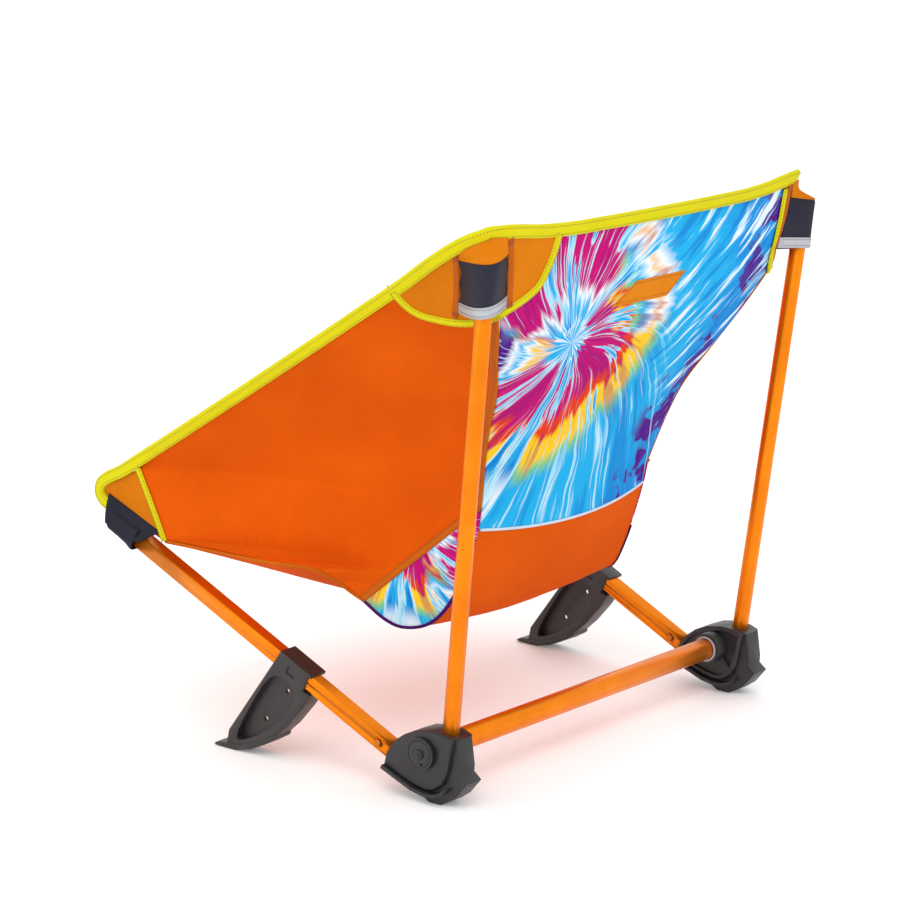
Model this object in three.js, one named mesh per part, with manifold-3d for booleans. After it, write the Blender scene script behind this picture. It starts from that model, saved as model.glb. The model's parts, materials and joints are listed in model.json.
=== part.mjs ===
// Ultralight camp chair: two hubs on a crossbar, four poles, two sliding feet and a slung seat.
// Millimetres, +Z up, +Y towards the back of the chair, +X towards the sitter's left.
// The model is laid out from the crossbar's axis (y = 0) and centred over its footprint at the end.
import * as THREE from 'three';
import { mergeVertices } from 'three/addons/utils/BufferGeometryUtils.js';
import Module from 'manifold-3d';

const wasm = await Module();
wasm.setup();

// ---------------------------------------------------------------- driving sizes

const FIT_GAP = 0.3;              // gap between pieces that touch or plug together
const RUN_GAP = 0.9;              // side clearance of a piece that swings or slides

const HUB_SPACING = 469;          // hub centre to hub centre, across the chair
const AXLE_HEIGHT = 48.5;         // crossbar axis above the ground
const HUB_CORE_WIDTH = 21;        // middle web of a hub, which holds the upright
const HUB_CHEEK_WIDTH = 33;       // hub across its two cheeks
const HUB_SOLE_WIDTH = 40;        // hub across its ground flange
const HUB_COLLAR_REACH = 13.5;    // inner collar, out from the inner cheek
const HUB_COLLAR_RADIUS = 16;
const HUB_RECESS_DEPTH = 4;
const HUB_RIM = 5;                // rim left round the inner recess

const CROSSBAR_DIAMETER = 22;
const CROSSBAR_WALL = 1.2;
const AXLE_BOLT_DIAMETER = 6;
const DISC_RADIUS = 15.7;
const DISC_THICKNESS = 4.6;
const PLUG_LENGTH = 24;

const UPRIGHT_DIAMETER = 16;
const UPRIGHT_WALL = 1;
const UPRIGHT_LENGTH = 478;
const UPRIGHT_LEAN = 6.4;         // degrees back
const UPRIGHT_SPLAY = 2.2;        // degrees outwards
const UPRIGHT_SETBACK = 19;       // upright axis behind the crossbar axis, square to the upright
const UPRIGHT_DEPTH = -9;         // foot of the upright, along its axis from the crossbar

const RAIL_SIZE = 16;
const RAIL_WALL = 1.3;
const RAIL_CORNER = 2.6;
const RAIL_LENGTH = 398;          // hinge pin to rail tip
const RAIL_ANGLE = 25.2;          // degrees above the ground
const RAIL_SPLAY = 1.5;           // degrees outwards
const RAIL_FOLD = 70;             // degrees the rail folds up, until it is parallel to the upright
const RAIL_TAIL = 9;              // hinge pin to the near end of the rail tube
const PIN_FORWARD = 38.7;         // rail hinge ahead of the crossbar axis
const PIN_HEIGHT = 33.3;
const PIN_DIAMETER = 7;
const PIN_SEAT = 2.4;             // depth of the pin's blind seats in the hub cheeks

const FOOT_POSITION = 142.3;      // hinge pin to the middle of the foot's collar, along the rail
const FOOT_LENGTH = 37.5;         // collar along the rail
const FOOT_WALL = 2.6;
const FOOT_LID = 3.2;
const FOOT_LID_OVERHANG = 5;
const FOOT_SOLE_WIDTH = 25;
const FOOT_WEB = 4;
const FOOT_HOLE = 5.4;

const FABRIC = 1.2;               // panel thickness
const SEAM = 1.2;                 // gap left between neighbouring panels
const BINDING_WIDTH = 11.5;
const BINDING_THICKNESS = 3.6;
const CORNER_INSET = 2.5;         // seat's rear corner, in and forward of the upright's tip
const CORNER_RISE = 29;           // seat's rear corner above the upright's tip
const CORNER_ROUND = 24;          // half width of the rounded corner where the pole sits
const BACK_BULGE = 15;            // how far the back bows rearwards between its seams
const SEAM_FOOT_INSET = 118;      // foot of the back seam, in from the seat's rear corner
const SEAM_FOOT_FORWARD = 32;     // foot of the back seam, ahead of the crossbar axis
const SEAM_FOOT_HEIGHT = 235;
const FLOOR_CORNER_INSET = 71;    // front point of the gusset, in from the seat's rear corner
const FLOOR_CORNER_FORWARD = 137;
const FLOOR_CORNER_HEIGHT = 157;
const FLOOR_HEIGHT = 112;         // lowest point of the seat
const SHOULDER_STEEPENING = 1.028; // the side's top edge near the rear corner, against its mean slope
const HEM_SAG = 42;               // front hem's middle below its ends
const FRONT_CORNER_RISE = 23;     // seat's front corner above the rail's upper face, at its tip
const PATCH_FOOT_REACH = 57;      // front patch's foot behind the rail's tip
const PATCH_FOOT_CLEARANCE = 7.5; // front patch's foot above the rail's upper face
const FRONT_CORNER_REACH = 25;    // seat's front corner ahead of the rail's tip
const POCKET_DEPTH = 34;
const POCKET_WALL = 1.6;
const REAR_POCKET_LENGTH = 50;
const REAR_POCKET_WIDTH = 44;
const LABEL_LENGTH = 76;
const LABEL_HEIGHT = 22;

// ---------------------------------------------------------------- finishes

const finish = (color, roughness, metalness) =>
  new THREE.MeshStandardMaterial({ color, roughness, metalness });
const ANODISED = finish(0xf07a10, 0.35, 0.8);
const MOULDED = finish(0x2b2b2f, 0.6, 0);
const STEEL = finish(0xb9b9bc, 0.3, 1);
const CANVAS = finish(0xe25a0c, 0.9, 0);
const PATCH = finish(0xe8860f, 0.85, 0);
const PRINTED = finish(0x38a8d8, 0.85, 0);
const TAPE = finish(0xd8dc10, 0.8, 0);
const SLEEVE = finish(0x3a3a44, 0.7, 0);
const REFLECTIVE = finish(0xa9adb3, 0.4, 0);

// ---------------------------------------------------------------- helpers

const chair = new THREE.Group();
const { lerp, degToRad, clamp, smoothstep } = THREE.MathUtils;
const V = (x, y, z) => new THREE.Vector3(x, y, z);

/** Add a named mesh to a group, or to the chair itself. */
function piece(name, geometry, material, parent = chair) {
  const mesh = new THREE.Mesh(geometry, material);
  mesh.name = name;
  parent.add(mesh);
  return mesh;
}

/** A closed three.js geometry as a solid that can be cut and joined. */
function solid(geometry) {
  const bare = geometry.index ? geometry.toNonIndexed() : geometry.clone();
  bare.deleteAttribute('normal');
  bare.deleteAttribute('uv');
  const merged = mergeVertices(bare, 1e-4);
  return new wasm.Manifold(new wasm.Mesh({
    numProp: 3,
    vertProperties: new Float32Array(merged.attributes.position.array),
    triVerts: new Uint32Array(merged.index.array),
  }));
}

/** The geometry of a solid. */
function geometryOf(body) {
  const mesh = body.getMesh();
  const geometry = new THREE.BufferGeometry();
  geometry.setAttribute('position', new THREE.BufferAttribute(new Float32Array(mesh.vertProperties), 3));
  geometry.setIndex(new THREE.BufferAttribute(new Uint32Array(mesh.triVerts), 1));
  return geometry;
}

/** Cut any number of geometries or solids out of the first. */
function cut(body, ...tools) {
  return tools.reduce((left, tool) => left.subtract(tool.isBufferGeometry ? solid(tool) : tool), body);
}

/** Join any number of geometries or solids. */
function join(first, ...rest) {
  const start = first.isBufferGeometry ? solid(first) : first;
  return rest.reduce((sum, one) => sum.add(one.isBufferGeometry ? solid(one) : one), start);
}

/** Extrude a closed outline, given as [y, z] points or a Shape, along X, centred on x. */
function acrossX(outline, width, x = 0, bevel = 0) {
  const shape = outline.isShape ? outline : new THREE.Shape(outline.map(([y, z]) => new THREE.Vector2(y, z)));
  const geometry = new THREE.ExtrudeGeometry(shape, {
    depth: width - 2 * bevel,
    bevelEnabled: bevel > 0,
    bevelThickness: bevel,
    bevelSize: bevel,
    bevelOffset: -bevel,
    bevelSegments: 1,
    curveSegments: 5,
  });
  geometry.translate(0, 0, bevel - width / 2);
  const basis = new THREE.Matrix4().makeBasis(V(0, 1, 0), V(0, 0, 1), V(1, 0, 0));
  return geometry.applyMatrix4(basis).translate(x, 0, 0);
}

/** A cylinder along X between two places. */
function rodX(radius, x0, x1, y = 0, z = 0, sides = 32) {
  const geometry = new THREE.CylinderGeometry(radius, radius, x1 - x0, sides);
  return geometry.rotateZ(-Math.PI / 2).translate((x0 + x1) / 2, y, z);
}

/** Two places along X in rising order. */
const span = (a, b) => [Math.min(a, b), Math.max(a, b)];

/** A tube along Y from its near end, with its bore left open. */
function tube(outer, inner, length, sides = 28) {
  const ring = [[inner, 0], [outer, 0], [outer, length], [inner, length], [inner, 0]];
  return new THREE.LatheGeometry(ring.map(([r, h]) => new THREE.Vector2(r, h)), sides);
}

/** A smooth closed outline through [y, z] points. */
function smoothOutline(points, steps) {
  const curve = new THREE.CatmullRomCurve3(points.map(([y, z]) => V(0, y, z)), true, 'centripetal');
  return curve.getPoints(steps).slice(0, -1).map((p) => [p.y, p.z]);
}

/** A rounded rectangle centred on the origin. */
function roundedRectangle(width, height, radius) {
  const [w, h] = [width / 2, height / 2];
  const shape = new THREE.Shape();
  shape.moveTo(w, -h + radius);
  shape.lineTo(w, h - radius);
  shape.absarc(w - radius, h - radius, radius, 0, Math.PI / 2);
  shape.absarc(-w + radius, h - radius, radius, Math.PI / 2, Math.PI);
  shape.absarc(-w + radius, -h + radius, radius, Math.PI, Math.PI * 1.5);
  shape.absarc(w - radius, -h + radius, radius, Math.PI * 1.5, Math.PI * 2);
  return shape;
}

/** A closed plate that follows a surface point(u, v), u and v from 0 to 1, offset outwards. */
function plate(point, columns, rows, thickness, offset = 0) {
  const e = 1e-3;
  const sides = [offset - thickness / 2, offset + thickness / 2].map((lift) => {
    const grid = [];
    for (let j = 0; j <= rows; j += 1) {
      for (let i = 0; i <= columns; i += 1) {
        const [u, v] = [i / columns, j / rows];
        const p = point(u, v);
        const du = point(Math.min(u + e, 1), v).sub(point(Math.max(u - e, 0), v));
        const dv = point(u, Math.min(v + e, 1)).sub(point(u, Math.max(v - e, 0)));
        grid.push(p.addScaledVector(du.cross(dv).normalize(), lift));
      }
    }
    return grid;
  });
  const positions = sides.flat().flatMap((p) => p.toArray());
  const stride = columns + 1;
  const back = sides[0].length;
  const at = (i, j) => j * stride + i;
  const index = [];
  const quad = (a, b, c, d) => index.push(a, b, c, a, c, d);
  for (let j = 0; j < rows; j += 1) {
    for (let i = 0; i < columns; i += 1) {
      const [a, b, c, d] = [at(i, j), at(i + 1, j), at(i + 1, j + 1), at(i, j + 1)];
      quad(back + a, back + b, back + c, back + d);
      quad(a, d, c, b);
    }
  }
  const rim = [];
  for (let i = 0; i < columns; i += 1) rim.push(at(i, 0));
  for (let j = 0; j < rows; j += 1) rim.push(at(columns, j));
  for (let i = columns; i > 0; i -= 1) rim.push(at(i, rows));
  for (let j = rows; j > 0; j -= 1) rim.push(at(0, j));
  rim.forEach((a, k) => {
    const b = rim[(k + 1) % rim.length];
    quad(a, b, back + b, back + a);
  });
  const geometry = new THREE.BufferGeometry();
  geometry.setAttribute('position', new THREE.Float32BufferAttribute(positions, 3));
  geometry.setIndex(index);
  return geometry;
}

/** The same plate on the other side of the chair, with its faces still pointing out. */
function mirrored(geometry) {
  const copy = geometry.clone();
  const position = copy.attributes.position;
  for (let i = 0; i < position.count; i += 1) position.setX(i, -position.getX(i));
  const index = copy.index.array;
  for (let i = 0; i < index.length; i += 3) [index[i], index[i + 1]] = [index[i + 1], index[i]];
  return copy;
}

/** Make a piece on the left and its mirror image on the right. */
function pair(name, geometry, material) {
  piece(`left_${name}`, geometry, material);
  piece(`right_${name}`, mirrored(geometry), material);
}

// ---------------------------------------------------------------- poles' lines

const half = HUB_SPACING / 2;
const lean = degToRad(UPRIGHT_LEAN);
const rise = degToRad(RAIL_ANGLE);
const uprightAlong = V(Math.tan(degToRad(UPRIGHT_SPLAY)), Math.sin(lean), Math.cos(lean)).normalize();
const uprightSquare = V(0, Math.cos(lean), -Math.sin(lean));
const uprightFoot = V(half, 0, AXLE_HEIGHT)
  .addScaledVector(uprightSquare, UPRIGHT_SETBACK)
  .addScaledVector(uprightAlong, UPRIGHT_DEPTH);
const uprightTip = uprightFoot.clone().addScaledVector(uprightAlong, UPRIGHT_LENGTH);

const railAlong = V(Math.tan(degToRad(RAIL_SPLAY)), -Math.cos(rise), Math.sin(rise)).normalize();
const railUp = V(0, Math.sin(rise), Math.cos(rise));
const railPin = V(half, -PIN_FORWARD, PIN_HEIGHT);
const railTip = railPin.clone().addScaledVector(railAlong, RAIL_LENGTH);

/** Matrix that stands a local Y axis along a pole, from a starting point. */
function poleFrame(start, along, up) {
  const side = along.clone().cross(up).normalize();
  return new THREE.Matrix4().makeBasis(side, along, side.clone().cross(along)).setPosition(start);
}

// ---------------------------------------------------------------- hub

/** Hub's middle web in side view: nose, dome, socket top, rear wall, fin and rocker sole. */
function hubCoreOutline() {
  const z = AXLE_HEIGHT;
  return [
    [-49, z - 24], [-45, z - 9], [-36, z + 4], [-24, z + 13], [-9, z + 19.5], [9, z + 22.5], [24, z + 21.5],
    [37, z + 18], [41, z - 8], [40.5, z - 15], [49, z - 21.5], [36, z - 37], [26, z - 44], [17, 0],
    [3, 0], [-12, z - 39.5], [-30, z - 31.5],
  ];
}

/** Cheeks of the hub: the same dome, but a rear edge that runs down in front of the fin. */
function hubCheekOutline(inset = 0) {
  const z = AXLE_HEIGHT;
  const outline = [
    [-48, z - 21], [-45, z - 9], [-36, z + 4], [-24, z + 13], [-9, z + 19.5], [9, z + 22.5], [24, z + 21.5],
    [34, z + 18], [29, z - 12], [23, z - 27], [13, z - 34], [2, z - 36], [-15, z - 32.5], [-31, z - 27],
  ];
  const centre = new THREE.Vector2(-1, z - 6);
  return outline.map(([y, h]) => {
    const spoke = new THREE.Vector2(y, h).sub(centre);
    spoke.setLength(spoke.length() - inset);
    return [centre.x + spoke.x, centre.y + spoke.y];
  });
}

/** Ground flange: a thin curved band under the cheeks, wider than them. */
function hubSoleOutline() {
  const z = AXLE_HEIGHT;
  return [
    [-49, z - 24], [-30, z - 31.5], [-12, z - 38], [4, z - 41], [15, z - 40.5], [24, z - 36], [30, z - 28],
    [22, z - 34], [14, z - 37], [4, z - 37.5], [-11, z - 34.8], [-29, z - 28.2], [-47, z - 20.5],
  ];
}

/** Side view of the slot in which the rail swings, from its low position to folded. */
function swingOutline() {
  const reach = 60;
  const clear = RAIL_SIZE / 2 + RUN_GAP;
  const points = [];
  const spoke = (degrees, along, across) => {
    const a = degToRad(degrees);
    const [c, s] = [Math.cos(a), Math.sin(a)];
    points.push([-PIN_FORWARD - along * c + across * s, PIN_HEIGHT + along * s + across * c]);
  };
  spoke(RAIL_ANGLE, reach, -clear);
  spoke(RAIL_ANGLE + RAIL_FOLD / 2, reach * 1.3, 0);
  spoke(RAIL_ANGLE + RAIL_FOLD, reach, clear);
  const turn = 180 - RAIL_FOLD;
  for (let k = 0; k <= 10; k += 1) spoke(RAIL_ANGLE + RAIL_FOLD + (turn * k) / 10, 0, clear);
  return points;
}

/** One hub about its own middle plane; outwards is +1 on the sitter's left and -1 on the right. */
function hubShell(outwards) {
  const cheek = HUB_CHEEK_WIDTH / 2;
  const inner = -outwards * cheek;
  const core = acrossX(hubCoreOutline(), HUB_CORE_WIDTH);
  const cheeks = acrossX(hubCheekOutline(), HUB_CHEEK_WIDTH, 0, 1.6);
  const sole = acrossX(hubSoleOutline(), HUB_SOLE_WIDTH, 0, 0);
  const collarEnd = inner - outwards * HUB_COLLAR_REACH;
  const collar = rodX(HUB_COLLAR_RADIUS, ...span(collarEnd, 0), 0, AXLE_HEIGHT, 40);

  const recessFloor = inner + outwards * HUB_RECESS_DEPTH;
  const recessAt = (inner + recessFloor) / 2 - outwards;
  const recess = acrossX(hubCheekOutline(HUB_RIM), HUB_RECESS_DEPTH + 2, recessAt);
  const ribFoot = AXLE_HEIGHT - 26;
  const ribHead = AXLE_HEIGHT - 9;
  const rib = acrossX([[10, ribHead], [11, ribHead], [26, ribFoot], [25, ribFoot]],
    HUB_RECESS_DEPTH - 0.5, (inner + recessFloor) / 2);
  const pocket = cut(solid(recess), collar, rib);

  const crossbarBore = rodX(CROSSBAR_DIAMETER / 2 + FIT_GAP, ...span(collarEnd - outwards, -outwards * 14), 0,
    AXLE_HEIGHT, 40);
  const boltBore = rodX(AXLE_BOLT_DIAMETER / 2 + FIT_GAP, -60, 60, 0, AXLE_HEIGHT, 20);
  const socketRadius = UPRIGHT_DIAMETER / 2 + FIT_GAP;
  const socket = new THREE.CylinderGeometry(socketRadius, socketRadius, 90, 32);
  socket.translate(0, 45 - FIT_GAP, 0);
  const along = uprightAlong.clone().setX(uprightAlong.x * outwards);
  socket.applyMatrix4(poleFrame(V(0, 0, 0), along, V(0, 1, 0)));
  socket.translate((uprightFoot.x - half) * outwards, uprightFoot.y, uprightFoot.z);
  const slot = acrossX(swingOutline(), RAIL_SIZE + 2 * RUN_GAP);
  const pinSeat = PIN_DIAMETER / 2 + FIT_GAP;
  const pinReach = RAIL_SIZE / 2 + RUN_GAP + PIN_SEAT;
  const seats = rodX(pinSeat, -pinReach, pinReach, -PIN_FORWARD, PIN_HEIGHT, 24);
  return cut(join(core, cheeks, sole, collar), pocket, crossbarBore, boltBore, socket, slot, seats);
}

/** Everything in one hub: shell, axle bolt, end disc, plug and the bush round the crossbar. */
function buildHub(side, outwards) {
  const group = new THREE.Group();
  group.position.set(half * outwards, 0, 0);
  chair.add(group);
  const out = (x) => x * outwards;
  piece(`${side}_hub_shell`, geometryOf(hubShell(outwards)), MOULDED, group);

  const face = HUB_CHEEK_WIDTH / 2 + FIT_GAP;
  const discOuter = face + DISC_THICKNESS;
  const disc = rodX(DISC_RADIUS, ...span(out(face), out(discOuter)), 0, AXLE_HEIGHT, 40);
  const bolt = AXLE_BOLT_DIAMETER / 2;
  const discBore = rodX(bolt + FIT_GAP, -60, 60, 0, AXLE_HEIGHT, 16);
  const keyHole = rodX(1.3, -60, 60, 2.6, AXLE_HEIGHT - 9.6, 12);
  const grooveSpan = span(out(discOuter - 0.7), out(discOuter + 1));
  const grooveRing = rodX(DISC_RADIUS - 2.2, ...grooveSpan, 0, AXLE_HEIGHT, 40);
  const groove = cut(solid(grooveRing), rodX(DISC_RADIUS - 3, -60, 60, 0, AXLE_HEIGHT, 40));
  piece(`${side}_end_disc`, geometryOf(cut(solid(disc), discBore, keyHole, groove)), MOULDED, group);

  const plugOuter = -HUB_CHEEK_WIDTH / 2 + 2.2;
  const plugInner = plugOuter - PLUG_LENGTH;
  const plugRadius = CROSSBAR_DIAMETER / 2 - CROSSBAR_WALL - FIT_GAP;
  const plug = rodX(plugRadius, ...span(out(plugInner), out(plugOuter)), 0, AXLE_HEIGHT, 32);
  piece(`${side}_crossbar_plug`, geometryOf(cut(solid(plug), discBore)), MOULDED, group);

  const shank = rodX(bolt, ...span(out(plugInner + 4), out(discOuter + 1.5)), 0, AXLE_HEIGHT, 20);
  const headProfile = [[0, 0], [5, 0], [4.6, 1], [3.2, 2], [1.6, 2.5], [0, 2.6]];
  const dome = new THREE.LatheGeometry(headProfile.map(([r, h]) => new THREE.Vector2(r, h)), 20);
  dome.rotateZ(-Math.PI / 2 * outwards).translate(out(discOuter + FIT_GAP), 0, AXLE_HEIGHT);
  piece(`${side}_axle_bolt`, geometryOf(join(shank, dome)), STEEL, group);

  const bushOuter = -HUB_CHEEK_WIDTH / 2 - HUB_COLLAR_REACH - FIT_GAP;
  const bushSpan = span(out(bushOuter - 1.6), out(bushOuter));
  const bush = rodX(CROSSBAR_DIAMETER / 2 + 2.2, ...bushSpan, 0, AXLE_HEIGHT, 40);
  const bushBore = rodX(CROSSBAR_DIAMETER / 2 + FIT_GAP, -60, 60, 0, AXLE_HEIGHT, 40);
  piece(`${side}_crossbar_bush`, geometryOf(cut(solid(bush), bushBore)), REFLECTIVE, group);
}

// ---------------------------------------------------------------- poles

const crossbarHalf = half - HUB_CHEEK_WIDTH / 2 + 2.5;
const crossbar = tube(CROSSBAR_DIAMETER / 2, CROSSBAR_DIAMETER / 2 - CROSSBAR_WALL, 2 * crossbarHalf);
crossbar.rotateZ(-Math.PI / 2).translate(-crossbarHalf, 0, AXLE_HEIGHT);
piece('crossbar', crossbar, ANODISED);

/** An upright: a round tube with a domed plug in its top end. */
function buildUpright(side, outwards) {
  const mirror = V(outwards, 1, 1);
  const foot = uprightFoot.clone().multiply(mirror);
  const frame = poleFrame(foot, uprightAlong.clone().multiply(mirror), V(0, 1, 0));
  const inner = UPRIGHT_DIAMETER / 2 - UPRIGHT_WALL;
  const body = tube(UPRIGHT_DIAMETER / 2, inner, UPRIGHT_LENGTH).applyMatrix4(frame);
  piece(`${side}_upright`, body, ANODISED);
  const stem = inner - FIT_GAP;
  const lip = UPRIGHT_DIAMETER / 2 - 0.4;
  const start = UPRIGHT_LENGTH + FIT_GAP;
  const profile = [[0, start - 14], [stem, start - 14], [stem, start], [lip, start], [lip, start + 1.4],
    [lip * 0.8, start + 3.6], [lip * 0.45, start + 4.6], [0, start + 5]];
  const plugProfile = profile.map(([r, h]) => new THREE.Vector2(r, h));
  const plug = new THREE.LatheGeometry(plugProfile, 24).applyMatrix4(frame);
  piece(`${side}_upright_plug`, plug, MOULDED);
}

/** A seat rail: square tube, hinged root, rivet and tip plug, all turning on the rail's pin. */
function buildRail(side, outwards) {
  const mirror = V(outwards, 1, 1);
  const pin = railPin.clone().multiply(mirror);
  const along = railAlong.clone().multiply(mirror);
  const rail = new THREE.Group();
  rail.applyMatrix4(poleFrame(pin, along, railUp));
  chair.add(rail);

  const inner = RAIL_SIZE - 2 * RAIL_WALL;
  const section = roundedRectangle(RAIL_SIZE, RAIL_SIZE, RAIL_CORNER);
  section.holes.push(new THREE.Path(
    roundedRectangle(inner, inner, RAIL_CORNER - RAIL_WALL).getPoints(3).reverse()));
  const stock = new THREE.ExtrudeGeometry(section, {
    depth: RAIL_LENGTH - RAIL_TAIL,
    bevelEnabled: false,
    curveSegments: 3,
  });
  stock.rotateX(-Math.PI / 2).translate(0, RAIL_TAIL, 0);
  const rivetAt = RAIL_TAIL + 16;
  const rivetBore = rodX(2.3, -20, 20, rivetAt, 0, 16);
  piece(`${side}_seat_rail`, geometryOf(cut(solid(stock), rivetBore)), ANODISED, rail);

  const tongueSize = inner - 2;
  const tongue = new THREE.BoxGeometry(tongueSize, 30, tongueSize).translate(0, 15 + 4, 0);
  const root = new THREE.Group();
  root.applyMatrix4(poleFrame(pin, V(0, railAlong.y, railAlong.z).normalize(), railUp));
  chair.add(root);
  const eye = rodX(RAIL_SIZE / 2 - 0.6, -RAIL_SIZE / 2, RAIL_SIZE / 2, 0, 0, 28);
  const eyeTrim = new THREE.BoxGeometry(40, 40, 40).translate(0, RAIL_TAIL - FIT_GAP - 0.4 + 20, 0);
  const trunnion = RAIL_SIZE / 2 + RUN_GAP + PIN_SEAT - FIT_GAP;
  const pinRod = rodX(PIN_DIAMETER / 2, -trunnion, trunnion, 0, 0, 20);
  const knuckle = cut(join(cut(solid(eye), eyeTrim), tongue, pinRod), rodX(2.3, -20, 20, rivetAt, 0, 16));
  piece(`${side}_rail_knuckle`, geometryOf(knuckle), MOULDED, root);

  const rivet = join(
    rodX(2, -RAIL_SIZE / 2 - 0.6, RAIL_SIZE / 2 + 0.6, rivetAt, 0, 16),
    rodX(3.4, -RAIL_SIZE / 2 - 1.4, -RAIL_SIZE / 2 - FIT_GAP, rivetAt, 0, 16),
    rodX(3.4, RAIL_SIZE / 2 + FIT_GAP, RAIL_SIZE / 2 + 1.4, rivetAt, 0, 16),
  );
  piece(`${side}_rail_rivet`, geometryOf(rivet), STEEL, rail);

  const stem = inner - 4 * FIT_GAP;
  const tipStem = new THREE.BoxGeometry(stem, 14, stem).translate(0, RAIL_LENGTH - 7 + FIT_GAP, 0);
  const capSize = RAIL_SIZE - 1;
  const tipCap = new THREE.BoxGeometry(capSize, 3, capSize).translate(0, RAIL_LENGTH + 1.5 + FIT_GAP, 0);
  piece(`${side}_rail_plug`, geometryOf(join(tipStem, tipCap)), MOULDED, rail);

  const room = RAIL_SIZE / 2 + 0.5;
  const shell = room + POCKET_WALL;
  const cup = new THREE.BoxGeometry(2 * shell, POCKET_DEPTH, 2 * shell)
    .translate(0, RAIL_LENGTH + 5 + POCKET_WALL - POCKET_DEPTH / 2, 0);
  const hollow = new THREE.BoxGeometry(2 * room, POCKET_DEPTH, 2 * room)
    .translate(0, RAIL_LENGTH + 5 - POCKET_DEPTH / 2, 0);
  piece(`${side}_front_pocket`, geometryOf(cut(solid(cup), hollow)), SLEEVE, rail);
}

// ---------------------------------------------------------------- sliding foot

/** A foot in the rail's own frame: y along the rail, z square to it, x across. */
function buildFoot(side, outwards) {
  const mirror = V(outwards, 1, 1);
  const foot = new THREE.Group();
  foot.applyMatrix4(poleFrame(railPin.clone().multiply(mirror), railAlong.clone().multiply(mirror), railUp));
  chair.add(foot);
  const y0 = FOOT_POSITION - FOOT_LENGTH / 2;
  const y1 = FOOT_POSITION + FOOT_LENGTH / 2;
  const bore = RAIL_SIZE / 2 + FIT_GAP;
  const width = 2 * (bore + FOOT_WALL);
  const top = bore + FOOT_LID;
  // The ground as a line in the rail's frame: how far below the rail it lies at a place along it.
  const ground = (a) => -(PIN_HEIGHT - FIT_GAP + a * Math.sin(rise)) / Math.cos(rise);
  const down = (a, share) => [y0 + a, ground(y0 + a) * share];
  const lowest = down(45, 1)[1];
  const heel = [[-11, 0.09], [-9, 0.27], [-1, 0.56], [6, 0.71], [15, 0.79], [28, 0.9], [43, 0.965]];
  const blade = [
    [y0 - 2, top], [y0 - 2, -bore - 1], ...heel.map(([a, share]) => down(a, share)), down(57, 0.955),
    [y0 + 60, lowest * 0.88], [y1, top],
  ];
  const body = acrossX(blade, width, 0, 1.2);
  const sole = acrossX([
    down(6, 0.76), down(15, 0.86), down(28, 0.955), down(43, 1), down(56, 1), down(66, 0.995),
    down(69, 0.985),
    down(66, 0.96), down(56, 0.945), down(43, 0.94), down(28, 0.875), down(15, 0.77), down(7, 0.69),
  ], FOOT_SOLE_WIDTH, 0, 0.8);
  const lid = new THREE.BoxGeometry(width, FOOT_LENGTH + FOOT_LID_OVERHANG, FOOT_LID)
    .translate(0, FOOT_POSITION - FOOT_LID_OVERHANG / 2, top - FOOT_LID / 2);
  const railBore = new THREE.BoxGeometry(2 * bore, FOOT_LENGTH + 40, 2 * bore).translate(0, FOOT_POSITION, 0);
  const hollow = smoothOutline([
    [y0 + 6, -bore - 7], down(3, 0.4), down(13, 0.62), down(28, 0.8), down(47, 0.89), [y1 + 9, lowest * 0.55],
    [y1 - 4, -bore - 7],
  ], 24);
  const hollows = [-1, 1].map((s) => acrossX(hollow, width, s * (FOOT_WEB + width) / 2));
  const [lowY, lowZ] = down(30, 0.63);
  const [highY, highZ] = down(19, 0.255);
  const holeLow = rodX(FOOT_HOLE / 2, -30, 30, lowY, lowZ, 14);
  const holeHigh = rodX(FOOT_HOLE / 2, -30, 30, highY, highZ, 14);
  const windowSize = [FOOT_LENGTH * 0.28, 8];
  const windows = [-1, 1].map((s) => new THREE.BoxGeometry(2.4, ...windowSize)
    .translate(s * width / 2, FOOT_POSITION - 1, -0.5));
  const shape = cut(join(body, sole, lid), railBore, ...hollows, holeLow, holeHigh, ...windows);
  piece(`${side}_foot`, geometryOf(shape), MOULDED, foot);
}

for (const [side, outwards] of [['left', 1], ['right', -1]]) {
  buildHub(side, outwards);
  buildUpright(side, outwards);
  buildRail(side, outwards);
  buildFoot(side, outwards);
}

// ---------------------------------------------------------------- seat: guiding lines, left half

const rearCorner = V(uprightTip.x - CORNER_INSET, uprightTip.y - CORNER_INSET, uprightTip.z + CORNER_RISE);
const frontCorner = railTip.clone().add(V(3, -FRONT_CORNER_REACH, RAIL_SIZE / 2 + FRONT_CORNER_RISE));
const seamFoot = V(rearCorner.x - SEAM_FOOT_INSET, -SEAM_FOOT_FORWARD, SEAM_FOOT_HEIGHT);
const floorCorner = V(rearCorner.x - FLOOR_CORNER_INSET, -FLOOR_CORNER_FORWARD, FLOOR_CORNER_HEIGHT);

/** A value read along a short table of [position, value] points, smoothly. */
function along(table, at) {
  const last = table.length - 1;
  let k = 0;
  while (k < last - 1 && at > table[k + 1][0]) k += 1;
  const t = clamp((at - table[k][0]) / (table[k + 1][0] - table[k][0]), 0, 1);
  const slope = (i) => {
    const [a, b] = [Math.max(i - 1, 0), Math.min(i + 1, last)];
    return (table[b][1] - table[a][1]) / (table[b][0] - table[a][0]);
  };
  const run = table[k + 1][0] - table[k][0];
  const [t2, t3] = [t * t, t * t * t];
  return (2 * t3 - 3 * t2 + 1) * table[k][1] + (t3 - 2 * t2 + t) * run * slope(k)
    + (3 * t2 - 2 * t3) * table[k + 1][1] + (t3 - t2) * run * slope(k + 1);
}

// How the back seam leaves the straight line from its foot to the rear corner, by height.
const SEAM_ACROSS = [
  [0, 0], [0.074, 0.01], [0.32, 0.182], [0.474, 0.36], [0.606, 0.564], [0.72, 0.716], [0.86, 0.865], [1, 1],
];
const SEAM_BACK = [
  [0, 0], [0.074, 0.04], [0.32, 0.276], [0.474, 0.536], [0.606, 0.735], [0.72, 0.885], [0.86, 0.97], [1, 1],
];

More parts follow.
